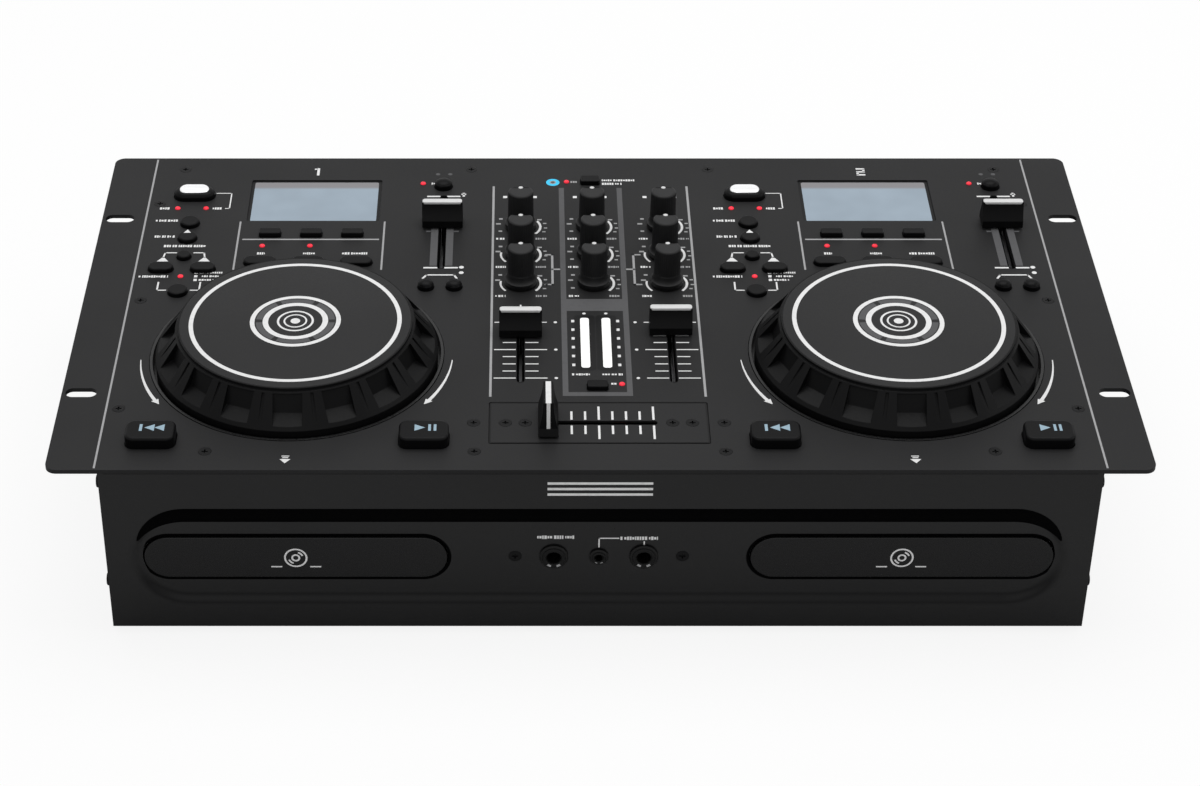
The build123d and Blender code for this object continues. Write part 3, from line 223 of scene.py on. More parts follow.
@dataclass(frozen=True)
class Finish:
    """A moulded or painted surface with fine grain and slight unevenness.

    Attributes:
        name: the material's name.
        colour: middle of its colour.
        rough: roughness.
        metal: share of metal.
        shine: specular level.
        grain: grain cells in a metre.
        depth: grain depth in millimetres.
        uneven: share by which the colour varies.
        edge: radius of softened edges in millimetres.
        cells: cells of uneven colour in a metre.
        vary: how far the roughness goes to either side.
        bump: how much of the grain's depth is used.
    """

    name: str
    colour: Colour
    rough: float = 0.5
    metal: float = 0.0
    shine: float = 0.5
    grain: float = 1600.0
    depth: float = 0.02
    uneven: float = 0.12
    edge: float = 0.25
    cells: float = 14.0
    vary: float = 0.05
    bump: float = 0.35

    def tint(self, share: float) -> Colour:
        """The colour, lighter or darker by a share."""
        return tuple(min(1.0, value * (1 + share)) for value in self.colour)

    def material(self) -> bpy.types.Material:
        """Makes the finish's material, or finds it where it was made before.

        Returns:
            The material.
        """
        known = bpy.data.materials.get(self.name)
        if known:
            return known
        wiring = Wiring(self.name)
        surface = wiring.surface.inputs
        surface["Metallic"].default_value = self.metal
        surface["Specular IOR Level"].default_value = self.shine
        self.dress(wiring)
        return wiring.material

    def dress(self, wiring: Wiring) -> None:
        """Adds colour, roughness and relief.

        Args:
            wiring: the material's nodes.
        """
        broad = wiring.spread(self.cells)
        fine = wiring.spread(self.grain, 2.0)
        wiring.link(wiring.ramp(broad, self.tint(-self.uneven), self.tint(self.uneven)),
                    wiring.surface.inputs["Base Color"])
        wiring.link(wiring.span(fine, self.rough - self.vary, self.rough + self.vary),
                    wiring.surface.inputs["Roughness"])
        wiring.relief(fine, self.depth * MM, self.bump, self.edge * MM)


@dataclass(frozen=True)
class MouldingShadeFinish(Finish):
    """A glossy moulding whose shine is painted shade: none where it faces down and less where it faces
    up.

    A face's turn is 0 where it faces down, a half where it is upright and 1 where it faces up.

    Attributes:
        under: turns between which the shine comes up.
        over: turns between which it goes down again.
        left: share of the shine that is left there.
    """

    under: Pair = (0.30, 0.42)
    over: Pair = (0.53, 0.65)
    left: float = 0.45

    def dress(self, wiring: Wiring) -> None:
        """Adds painted shade: a shine that depends on how a face is turned.

        Args:
            wiring: the material's nodes.
        """
        super().dress(wiring)
        shape = wiring.node("NewGeometry")
        apart = wiring.node("SeparateXYZ")
        wiring.link(shape.outputs["Normal"], apart.inputs["Vector"])
        turned = wiring.node("MapRange", From_Min=-1.0, From_Max=1.0)
        wiring.link(apart.outputs["Z"], turned.inputs["Value"])
        none, full = (0.0, 0.0, 0.0), (1.0, 1.0, 1.0)
        under = wiring.ramp(turned.outputs["Result"], none, full, self.under)
        over = wiring.ramp(turned.outputs["Result"], full, (self.left,) * 3, self.over)
        both = wiring.node("Math", {"operation": "MULTIPLY"})
        wiring.link(under, both.inputs[0])
        wiring.link(over, both.inputs[1])
        # Painted shade: the shine is scaled down on faces turned down or up.
        level = wiring.node("Math", {"operation": "MULTIPLY"})
        wiring.link(both.outputs[0], level.inputs[0])
        level.inputs[1].default_value = self.shine
        wiring.link(level.outputs[0], wiring.surface.inputs["Specular IOR Level"])


@dataclass(frozen=True)
class BrushedFinish(Finish):
    """Metal with fine lines along one axis.

    Attributes:
        stretch: scale of the lines along each axis.
    """

    vary: float = 0.08
    bump: float = 0.25
    stretch: Triple = (0.05, 1.0, 1.0)

    def dress(self, wiring: Wiring) -> None:
        """Adds brushed lines to colour, roughness and relief.

        Args:
            wiring: the material's nodes.
        """
        lines = wiring.spread(self.grain, 4.0, self.stretch)
        wiring.link(wiring.ramp(lines, self.tint(-self.uneven), self.tint(self.uneven)),
                    wiring.surface.inputs["Base Color"])
        wiring.link(wiring.span(lines, self.rough - self.vary, self.rough + self.vary),
                    wiring.surface.inputs["Roughness"])
        wiring.relief(lines, self.depth * MM, self.bump, self.edge * MM)


@dataclass(frozen=True)
class InkFinish(Finish):
    """Screen-printed ink, thinner in places.

    Attributes:
        thin: noise levels between which the cover becomes full.
    """

    cells: float = 420.0
    thin: Pair = (0.25, 0.5)

    def dress(self, wiring: Wiring) -> None:
        """Adds the ink's uneven cover.

        Args:
            wiring: the material's nodes.
        """
        cover = wiring.spread(self.cells, 4.0)
        wiring.link(wiring.ramp(cover, self.tint(-self.uneven), self.colour, self.thin),
                    wiring.surface.inputs["Base Color"])
        wiring.surface.inputs["Roughness"].default_value = self.rough


@dataclass(frozen=True)
class LampFinish(Finish):
    """A tinted lens that glows a little.

    Attributes:
        glow: strength of its glow.
    """

    cells: float = 500.0
    glow: float = 0.5

    def dress(self, wiring: Wiring) -> None:
        """Adds a slightly uneven tint that also glows.

        Args:
            wiring: the material's nodes.
        """
        patches = wiring.spread(self.cells, 1.0)
        colour = wiring.ramp(patches, self.tint(-self.uneven), self.tint(self.uneven))
        wiring.link(colour, wiring.surface.inputs["Base Color"])
        wiring.link(colour, wiring.surface.inputs["Emission Color"])
        wiring.surface.inputs["Emission Strength"].default_value = self.glow
        wiring.surface.inputs["Roughness"].default_value = self.rough


@dataclass(frozen=True)
class BoardFinish(Finish):
    """A circuit board with copper tracks under its green lacquer.

    Attributes:
        track: colour of the tracks.
    """

    depth: float = 0.04
    bump: float = 0.4
    track: Colour = (0.12, 0.22, 0.08)

    def dress(self, wiring: Wiring) -> None:
        """Adds a pattern of tracks.

        Args:
            wiring: the material's nodes.
        """
        where = wiring.node("TexCoord")
        tracks = wiring.node("TexBrick", Scale=90.0, Mortar_Size=0.035, Brick_Width=0.7,
                             Row_Height=0.16)
        tracks.inputs["Color1"].default_value = (*self.colour, 1)
        tracks.inputs["Color2"].default_value = (*self.tint(0.25), 1)
        tracks.inputs["Mortar"].default_value = (*self.track, 1)
        wiring.link(where.outputs["Object"], tracks.inputs["Vector"])
        wiring.link(tracks.outputs["Color"], wiring.surface.inputs["Base Color"])
        wiring.surface.inputs["Roughness"].default_value = self.rough
        wiring.relief(tracks.outputs["Fac"], self.depth * MM, self.bump, 0.0)


@dataclass(frozen=True)
class GlassFinish(Finish):
    """The lit face of a display: pale, with a darker and warmer band along its far edge.

    Attributes:
        band: colour of the band.
        fade: distances from the display's far edge at which the band starts and is full.
    """

    cells: float = 60.0
    band: Colour = (0.215, 0.21, 0.22)
    fade: Pair = (8.0, 6.0)

    def dress(self, wiring: Wiring) -> None:
        """Adds soft lighter patches and the band along the far edge.

        Args:
            wiring: the material's nodes.
        """
        where = wiring.node("TexCoord")
        apart = wiring.node("SeparateXYZ")
        wiring.link(where.outputs["Object"], apart.inputs["Vector"])
        start, full = ((DISPLAY_BACK - PANEL_DEPTH / 2 - reach) * MM for reach in self.fade)
        fade = wiring.node("MapRange", From_Min=start, From_Max=full)
        wiring.link(apart.outputs["Y"], fade.inputs["Value"])
        noise = wiring.spread(self.cells, 1.0)
        patches = wiring.ramp(noise, self.tint(-self.uneven), self.tint(self.uneven))
        mix = wiring.node("Mix", {"data_type": "RGBA"})
        wiring.link(fade.outputs["Result"], mix.inputs[0])
        wiring.link(patches, mix.inputs[6])
        mix.inputs[7].default_value = (*self.band, 1)
        wiring.link(mix.outputs[2], wiring.surface.inputs["Base Color"])
        wiring.surface.inputs["Roughness"].default_value = self.rough


class Palette:
    """Every finish of the player."""

    panel = Finish("charcoal_panel_paint", (0.0155, 0.0155, 0.016), 0.5, shine=0.10, depth=0.015)
    tub = Finish("black_case_paint", (0.008, 0.008, 0.0085), 0.45, shine=0.16, depth=0.03)
    # Its shine drops on faces turned down or up: painted shade on the recess's slopes.
    front = MouldingShadeFinish("black_front_moulding", (0.0035, 0.0035, 0.0038), 0.32, shine=0.26,
                           depth=0.01)
    door = Finish("black_door_moulding", (0.003, 0.003, 0.0033), 0.28, shine=0.2, depth=0.006)
    rim = Finish("jog_rim_moulding", (0.003, 0.003, 0.0032), 0.45, shine=0.08, depth=0.03, edge=0.5)
    disc = Finish("jog_top_plate", (0.0145, 0.0145, 0.015), 0.52, shine=0.13, depth=0.01)
    well = Finish("jog_well_moulding", (0.003, 0.003, 0.0032), 0.3, shine=0.3, depth=0.01)
    key = Finish("key_moulding", (0.0034, 0.0034, 0.0037), 0.34, shine=0.07, depth=0.008, edge=0.3)
    knob = Finish("knob_soft_black", (0.0062, 0.0062, 0.0066), 0.5, shine=0.22, depth=0.02)
    knob_top = Finish("knob_face_paint", (0.017, 0.017, 0.0175), 0.5, shine=0.15, depth=0.01)
    cap = Finish("fader_cap_black", (0.0028, 0.0028, 0.003), 0.36, shine=0.06, depth=0.01)
    # Matt black: felt of the dust strips and slot edges, and painted shade in the recess, round the
    # doors and under the panel's lip.
    felt = Finish("black_felt", (0.0016, 0.0016, 0.0017), 0.95, shine=0.01, depth=0.05, grain=3000.0)
    plate = Finish("crossfader_plate_paint", (0.0155, 0.0155, 0.016), 0.48, shine=0.10, depth=0.015)
    white_ink = InkFinish("white_ink", (0.74, 0.74, 0.74), 0.6, shine=0.2, uneven=0.1)
    # Pale grey print, also the painted glints on the front sockets' collars.
    pale_ink_and_glint = InkFinish("pale_grey_ink_and_glints", (0.34, 0.34, 0.345), 0.6, shine=0.2, uneven=0.1)
    grey_ink = InkFinish("grey_ink", (0.085, 0.085, 0.088), 0.6, shine=0.15, uneven=0.1)
    # Painted highlight along the crossfader plate's front edge.
    edge_highlight_ink = InkFinish("edge_highlight_ink", (0.038, 0.038, 0.04), 0.6, shine=0.15, uneven=0.12)
    # Black print, also painted shade at the display's far edge and round the crossfader plate.
    black_ink_and_shade = InkFinish("black_ink_and_shade", (0.003, 0.003, 0.0033), 0.45, shine=0.12, uneven=0.15)
    blue_ink = InkFinish("blue_ink", (0.055, 0.57, 0.88), 0.5, shine=0.2, uneven=0.08)
    key_ink = InkFinish("pale_blue_ink", (0.30, 0.42, 0.50), 0.5, shine=0.2, uneven=0.1)
    ridge = Finish("white_moulding", (0.64, 0.64, 0.64), 0.35, shine=0.35, depth=0.005, uneven=0.04)
    silver = BrushedFinish("silver_key_top", (0.93, 0.93, 0.94), 0.25, 1.0, depth=0.004,
                           uneven=0.04)
    lamp = LampFinish("red_lamp_lens", (0.58, 0.018, 0.034), 0.25, shine=0.2, uneven=0.2, glow=1.0)
    meter = LampFinish("white_meter_bar", (0.85, 0.85, 0.84), 0.3, uneven=0.05, glow=0.25)
    glass = GlassFinish("display_face", (0.28, 0.345, 0.41), 0.22, shine=0.3, uneven=0.05)
    screw = BrushedFinish("black_screw_steel", (0.006, 0.006, 0.0063), 0.34, 0.3, shine=0.1, depth=0.004)
    rubber = Finish("foot_rubber", (0.012, 0.012, 0.012), 0.8, shine=0.2, depth=0.05)
    board = BoardFinish("green_circuit_board", (0.012, 0.06, 0.022), 0.4)
    steel = BrushedFinish("zinc_drive_steel", (0.42, 0.43, 0.44), 0.35, 0.9, uneven=0.08)
    nylon = Finish("natural_nylon", (0.55, 0.53, 0.47), 0.45, uneven=0.05)
    tin = BrushedFinish("pot_shell_steel", (0.36, 0.36, 0.37), 0.4, 0.8, uneven=0.1)
    jack = Finish("jack_black", (0.005, 0.005, 0.005), 0.3, shine=0.14, depth=0.006)
    collar = Finish("jack_collar_black", (0.004, 0.004, 0.0042), 0.26, shine=0.12, depth=0.003)
    nickel = BrushedFinish("nickel_ring", (0.30, 0.30, 0.31), 0.25, 0.9, depth=0.003, uneven=0.06)
    red_ring = Finish("red_socket_ring", (0.36, 0.012, 0.014), 0.4, depth=0.006, uneven=0.06)
    white_ring = Finish("white_socket_ring", (0.55, 0.55, 0.53), 0.4, depth=0.006, uneven=0.05)


# ---- mesh tools -----------------------------------------------------------------------------


@dataclass(frozen=True)
class Place:
    """A flat working surface of the frame, in millimetres.

    Attributes:
        origin: the point from which x and y are counted.
        u: direction of x.
        v: direction of y.
    """

    origin: Vector
    u: Vector
    v: Vector

    def point(self, x: float, y: float, height: float = 0.0) -> Vector:
        """A frame point, from millimetres along the surface and above it."""
        return (self.origin + (self.u * x + self.v * y + self.u.cross(self.v) * height)) * MM

    @classmethod
    def top(cls, x: float = 0.0, lift: float = INK_LIFT) -> Place:
        """The panel's top face, with x counted from a place across it."""
        return cls(Vector((x, -PANEL_DEPTH / 2, PANEL_TOP + lift)), Vector((1, 0, 0)), Vector((0, 1, 0)))

    @classmethod
    def front(cls, x: float = 0.0, y: float = FRONT_FACE - INK_LIFT) -> Place:
        """An upright face towards the user, with y counted from the panel's top face."""
        return cls(Vector((x, y - PANEL_DEPTH / 2, PANEL_TOP)), Vector((1, 0, 0)), Vector((0, 0, 1)))

    @classmethod
    def rear(cls, x: float = 0.0, y: float = REAR_FACE + INK_LIFT) -> Place:
        """The case's rear, with x mirrored so that it reads from behind."""
        return cls(Vector((x, y - PANEL_DEPTH / 2, 0)), Vector((-1, 0, 0)), Vector((0, 0, 1)))


def publish(name: str, work: bmesh.types.BMesh, finish: Finish, body: str, smooth: float = 0.0
            ) -> bpy.types.Object:
    """Turns finished mesh work into a piece of the player.

    Args:
        name: the piece's name.
        work: its mesh.
        finish: its finish.
        body: the frame body it rides on.
        smooth: largest angle in degrees between faces that shade as one surface.
    Returns:
        The new object.
    """
    mesh = bpy.data.meshes.new(name)
    bmesh.ops.recalc_face_normals(work, faces=work.faces)
    work.to_mesh(mesh)
    work.free()
    mesh.materials.append(finish.material())
    if smooth:
        mesh.shade_smooth()
        mesh.set_sharp_from_angle(angle=math.radians(smooth))
    piece = bpy.data.objects.new(name, mesh)
    bpy.context.scene.collection.objects.link(piece)
    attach(piece, body)
    return piece


def circle(x: float, y: float, radius: float, steps: int = 48, start: float = 0.0,
           end: float = 360.0) -> list[Pair]:
    """Points round a circle or along an arc.

    Args:
        x: centre across.
        y: centre along.
        radius: its radius.
        steps: how many faces its edge has.
        start: degree of the first point.
        end: degree of the last.
    Returns:
        The points; a full circle doesn't repeat its first.
    """
    closed = abs(end - start) >= 360
    count = steps if closed else steps + 1
    angles = [math.radians(start + (end - start) * k / steps) for k in range(count)]
    return [(x + radius * math.cos(a), y + radius * math.sin(a)) for a in angles]


def rounded(x: float, y: float, width: float, depth: float, corner: float, steps: int = 6) -> list[Pair]:
    """Outline of a rectangle with rounded corners.

    Args:
        x: centre across.
        y: centre along.
        width: size across.
        depth: size along.
        corner: radius of its corners.
        steps: faces round a corner.
    Returns:
        The outline's points.
    """
    points: list[Pair] = []
    for turn, (sx, sy) in enumerate(((1, 1), (-1, 1), (-1, -1), (1, -1))):
        middle = (x + sx * (width / 2 - corner), y + sy * (depth / 2 - corner))
        points += circle(*middle, corner, steps, turn * 90, turn * 90 + 90)
    return points


@dataclass
class Print:
    """Flat printing gathered into one thin mesh.

    Attributes:
        name: the piece's name.
        place: the surface that it is printed on.
        finish: its ink.
        body: the frame body it rides on.
        work: its mesh.
    """

    name: str
    place: Place
    finish: Finish
    body: str = "case"
    work: bmesh.types.BMesh = field(default_factory=bmesh.new)

    def patch(self, points: Iterable[Sequence[float]]) -> None:
        """One filled outline, whose points may carry a height of their own."""
        self.work.faces.new([self.work.verts.new(self.place.point(*point)) for point in points])

    def bar(self, x: float, y: float, width: float, depth: float) -> None:
        """A rectangle about its centre."""
        w, d = width / 2, depth / 2
        self.patch(((x - w, y - d), (x + w, y - d), (x + w, y + d), (x - w, y + d)))

    def dot(self, x: float, y: float, radius: float) -> None:
        """A filled circle."""
        self.patch(circle(x, y, radius, 20))

    def upright(self, x: float, base: float, tip: float, half: float) -> None:
        """A pointer along y, from the y of its base and of its tip and half its base's width."""
        self.patch(((x - half, base), (x + half, base), (x, tip)))

    def sideways(self, tip: float, base: float, y: float, half: float) -> None:
        """A pointer along x, from the x of its tip and of its base and half its base's width."""
        self.patch(((tip, y), (base, y + half), (base, y - half)))

    def ribbon(self, outer: Sequence[Pair], inner: Sequence[Pair], closed: bool) -> None:
        """The band between two lines of points.

        Args:
            outer: points of one edge.
            inner: points of the other, as many.
            closed: whether the band goes all round.
        """
        first = [self.work.verts.new(self.place.point(*point)) for point in outer]
        second = [self.work.verts.new(self.place.point(*point)) for point in inner]
        count = len(first) if closed else len(first) - 1
        for k in range(count):
            n = (k + 1) % len(first)
            self.work.faces.new((first[k], first[n], second[n], second[k]))

    def ring(self, x: float, y: float, outer: float, inner: float, start: float = 0.0,
             end: float = 360.0, steps: int = 96) -> None:
        """A ring, or part of one."""
        self.ribbon(circle(x, y, outer, steps, start, end), circle(x, y, inner, steps, start, end),
                    abs(end - start) >= 360)

    def line(self, points: Sequence[Pair], width: float = 0.5) -> None:
        """A line of straight runs whose ends reach half its width beyond their points.

        Args:
            points: the points that it joins.
            width: its width.
        """
        for (x0, y0), (x1, y1) in zip(points, points[1:]):
            length = math.hypot(x1 - x0, y1 - y0)
            nx, ny = (y0 - y1) / length * width / 2, (x1 - x0) / length * width / 2
            ex, ey = (x1 - x0) / length * width / 2, (y1 - y0) / length * width / 2
            self.patch(((x0 - ex + nx, y0 - ey + ny), (x0 - ex - nx, y0 - ey - ny),
                        (x1 + ex - nx, y1 + ey - ny), (x1 + ex + nx, y1 + ey + ny)))

    def dashes(self, start: float, end: float, y: float, height: float = 2.0) -> None:
        """A caption's place: one row of short plain blocks of uneven width.

        Args:
            start: x of the row's first end.
            end: x of its last.
            y: its middle along.
            height: height of its tallest blocks.
        """
        chance = random.Random(round(start * 31 + y * 17))
        x = start
        while x < end - BLOCK_GAPS[0]:
            width = min(chance.uniform(*BLOCK_WIDTHS), end - x)
            self.bar(x + width / 2, y, width, height * chance.choice(BLOCK_HEIGHTS))
            x += width + chance.choice(BLOCK_GAPS)

    def done(self) -> bpy.types.Object:
        """Makes the piece."""
        return publish(self.name, self.work, self.finish, self.body)


@dataclass
class Solid:
    """A raised form gathered into one mesh.

    Attributes:
        name: the piece's name.
        place: the surface that it stands on.
        finish: its finish.
        body: the frame body it rides on.
        work: its mesh.
    """

    name: str
    place: Place
    finish: Finish
    body: str
    work: bmesh.types.BMesh = field(default_factory=bmesh.new)

    def layers(self, rings: Sequence[Sequence[Vector]], capped: bool = True) -> None:
        """Skins a stack of closed outlines.

        Args:
            rings: the outlines, each with as many points.
            capped: whether the first and the last are filled.
        """
        rows = [[self.work.verts.new(point) for point in ring] for ring in rings]
        for low, high in zip(rows, rows[1:]):
            for k in range(len(low)):
                n = (k + 1) % len(low)
                self.work.faces.new((low[k], low[n], high[n], high[k]))
        if capped:
            self.work.faces.new(rows[0][::-1])
            self.work.faces.new(rows[-1])

    def level(self, x: float, y: float, radius: float, height: float, steps: int) -> list[Vector]:
        """The points of a level circle, in the frame."""
        return [self.place.point(px, py, height) for px, py in circle(x, y, radius, steps)]

    def loop(self, x: float, y: float, section: Sequence[Pair], steps: int) -> None:
        """A ring whose section is closed.

        Args:
            x: centre across.
            y: centre along.
            section: radius and height of each point of its section.
            steps: points round it.
        """
        rings = [self.level(x, y, radius, height, steps) for radius, height in section]
        self.layers([*rings, rings[0]], False)
        bmesh.ops.remove_doubles(self.work, verts=self.work.verts, dist=1e-6)

    def pillow(self, outline: Sequence[Pair], middle: Pair, base: float, top: float,
               crown: float, steps: int = 4) -> None:
        """A slab with a rounded upper edge.

        Args:
            outline: its outline.
            middle: centre that the outline shrinks towards.
            base: height of its underside.
            top: height of its top.
            crown: radius of its upper edge.
            steps: faces across the rounded edge.
        """
        reach = max(math.hypot(x - middle[0], y - middle[1]) for x, y in outline)
        rings = [[self.place.point(x, y, base) for x, y in outline]]
        for k in range(steps + 1):
            angle = math.pi / 2 * k / steps
            share = 1 - crown * (1 - math.cos(angle)) / reach
            height = top - crown + crown * math.sin(angle)
            rings.append([self.place.point(middle[0] + (x - middle[0]) * share,
                                           middle[1] + (y - middle[1]) * share, height)
                          for x, y in outline])
        self.layers(rings)

    def turned(self, x: float, y: float, profile: Sequence[Pair], steps: int = 48,
               flutes: int = 0, flute_depth: float = 0.0, fluted: Pair = (0.0, 0.0),
               flat: Pair | None = None) -> None:
        """A turned form, with flutes cut into part of its height.

        Args:
            x: centre across.
            y: centre along.
            profile: radius and height of each step, from the bottom.
            steps: points round it.
            flutes: how many flutes.
            flute_depth: depth of a flute.
            fluted: lowest and highest height that the flutes reach.
            flat: how far behind the centre the form ends in a flat, and the height it starts at.
        """
        rings = []
        for radius, height in profile:
            reach = flat[0] if flat and height >= flat[1] else radius
            ring = []
            for k in range(steps):
                angle = 2 * math.pi * k / steps
                cut = 0.0
                if flutes and fluted[0] <= height <= fluted[1]:
                    cut = flute_depth * (0.5 - 0.5 * math.cos(flutes * angle)) ** 2
                ring.append(self.place.point(x + (radius - cut) * math.cos(angle),
                                             y + min(reach, (radius - cut) * math.sin(angle)), height))
            rings.append(ring)
        self.layers(rings)

    def done(self, smooth: float = 35.0) -> bpy.types.Object:
        """Makes the piece."""
        return publish(self.name, self.work, self.finish, self.body, smooth)


def lens(name: str, x: float, y: float) -> None:
    """A small domed lens standing on the panel over one lamp.

    Args:
        name: the piece's name.
        x: the lamp's place across the panel.
        y: the lamp's place along it.
    """
    dome = Solid(name, Place.top(x, 0.0), Palette.lamp, "case")
    dome.turned(0, y, LENS_PROFILE, 24)
    dome.done(60)


# ---- sub-assemblies -------------------------------------------------------------------------


@dataclass
class Castings:
    """Dresses every node of the frame that is shown as it is.

    Attributes:
        nodes: the frame's nodes by name.
        by_start: the finish for each start of a node's name, the first that fits.
    """

    nodes: dict[str, bpy.types.Object]
    by_start: tuple[tuple[str, Finish], ...] = (
        ("top_panel", Palette.panel), ("case_tub", Palette.tub), ("front_panel", Palette.front),
        ("control_board", Palette.board), ("main_board", Palette.board),
        ("disc_drives", Palette.steel), ("front_jacks", Palette.jack),
        ("rear_sockets", Palette.jack), ("panel_screws", Palette.screw),
        ("case_screws", Palette.screw), ("rubber_feet", Palette.rubber),
        ("display_modules", Palette.glass), ("status_leds", Palette.lamp),
        ("level_meter", Palette.meter), ("jog_wells", Palette.well),
        ("potentiometers", Palette.tin), ("crossfader_plate", Palette.plate),
        ("jog_wheel", Palette.rim), ("disc_tray", Palette.door), ("tray_gear", Palette.nylon),
        ("knob", Palette.knob), ("channel_fader", Palette.cap), ("pitch_fader", Palette.cap),
        ("crossfader", Palette.cap), ("", Palette.key),
    )

    def build(self) -> None:
        """Gives each node its finish."""
        for name, node in self.nodes.items():
            finish = next(value for start, value in self.by_start if name.startswith(start))
            node.data.materials.clear()
            node.data.materials.append(finish.material())


@dataclass
class JogTop:
    """Inlay and marks on the top plate of one jog wheel.

    Attributes:
        side: the wheel's deck.
        height: height of the plate's top.
        plate_radius: the plate's radius.
        rise: how far the inlay stands above the plate.
        rings: outer radius, inner radius and steps of each white ring.
        spot: radius of the dot at the centre.
        band: outer and inner radius of the broken grey band.
        band_parts: how many pieces the band has.
        band_gap: degrees left open at each end of such a piece.
    """

    side: Side
    height: float = 18.4
    plate_radius: float = 53.0
    rise: float = 0.06
    rings: tuple[tuple[float, float, int], ...] = (
        (48.4, 46.4, 144), (20.7, 18.6, 96), (14.9, 12.4, 96), (8.4, 7.4, 96), (5.4, 4.6, 48))
    spot: float = 2.2
    band: Pair = (18.0, 15.2)
    band_parts: int = 6
    band_gap: float = 4.0

    def build(self) -> None:
        """Makes the plate's inlay, its rings and the plain centre mark."""
        body = f"jog_wheel_{self.side.word}"
        place = Place.top(self.side.deck_x, self.height)
        inlay = Solid(f"jog_inlay_{self.side.word}", place, Palette.disc, body)
        inlay.turned(0, JOG_Y, ((self.plate_radius - 0.3, 0.0),
                                (self.plate_radius - 0.35, self.rise / 2),
                                (self.plate_radius - 0.7, self.rise)), 128)
        inlay.done(20)
        lifted = Place.top(self.side.deck_x, self.height + self.rise + INK_LIFT)
        white = Print(f"jog_rings_{self.side.word}", lifted, Palette.white_ink, body)
        for outer, inner, steps in self.rings:
            white.ring(0, JOG_Y, outer, inner, steps=steps)
        white.dot(0, JOG_Y, self.spot)
        white.done()
        grey = Print(f"jog_band_{self.side.word}", lifted, Palette.grey_ink, body)
        pitch = 360 / self.band_parts
        for k in range(self.band_parts):
            grey.ring(0, JOG_Y, *self.band, k * pitch + self.band_gap,
                      (k + 1) * pitch - self.band_gap, 16)
        grey.done()


@dataclass
class Arrow:
    """A tapered arc beside a jog wheel that ends in an arrow's head.

    Attributes:
        start: degree at which its tail lies.
        end: degree at which its head starts.
        radius: radius of its middle line.
        tail: half its width at the tail.
        growth: how much wider each half is at the head.
        reach: degrees from the head's start to its tip.
        tip: radius of the head's tip.
        wings: outer and inner radius of the head's two corners.
        steps: faces along the arc.
    """

    start: float
    end: float
    radius: float = 71.4
    tail: float = 0.22
    growth: float = 0.62
    reach: float = 3.2
    tip: float = 71.2
    wings: Pair = (73.2, 69.6)
    steps: int = 16

    def spot(self, radius: float, degrees: float) -> Pair:
        """A point round the jog wheel's centre."""
        angle = math.radians(degrees)
        return radius * math.cos(angle), JOG_Y + radius * math.sin(angle)

    def draw(self, white: Print) -> None:
        """Adds the arrow to the deck's white printing.

        Args:
            white: the printing.
        """
        outer, inner = [], []
        for k in range(self.steps + 1):
            share = k / self.steps
            degrees = self.start + (self.end - self.start) * share
            half = self.tail + self.growth * share
            outer.append(self.spot(self.radius + half, degrees))
            inner.append(self.spot(self.radius - half, degrees))
        white.ribbon(outer, inner, False)
        front = self.end + math.copysign(self.reach, self.end - self.start)
        white.patch([self.spot(self.tip, front), self.spot(self.wings[0], self.end),
                     self.spot(self.wings[1], self.end)])


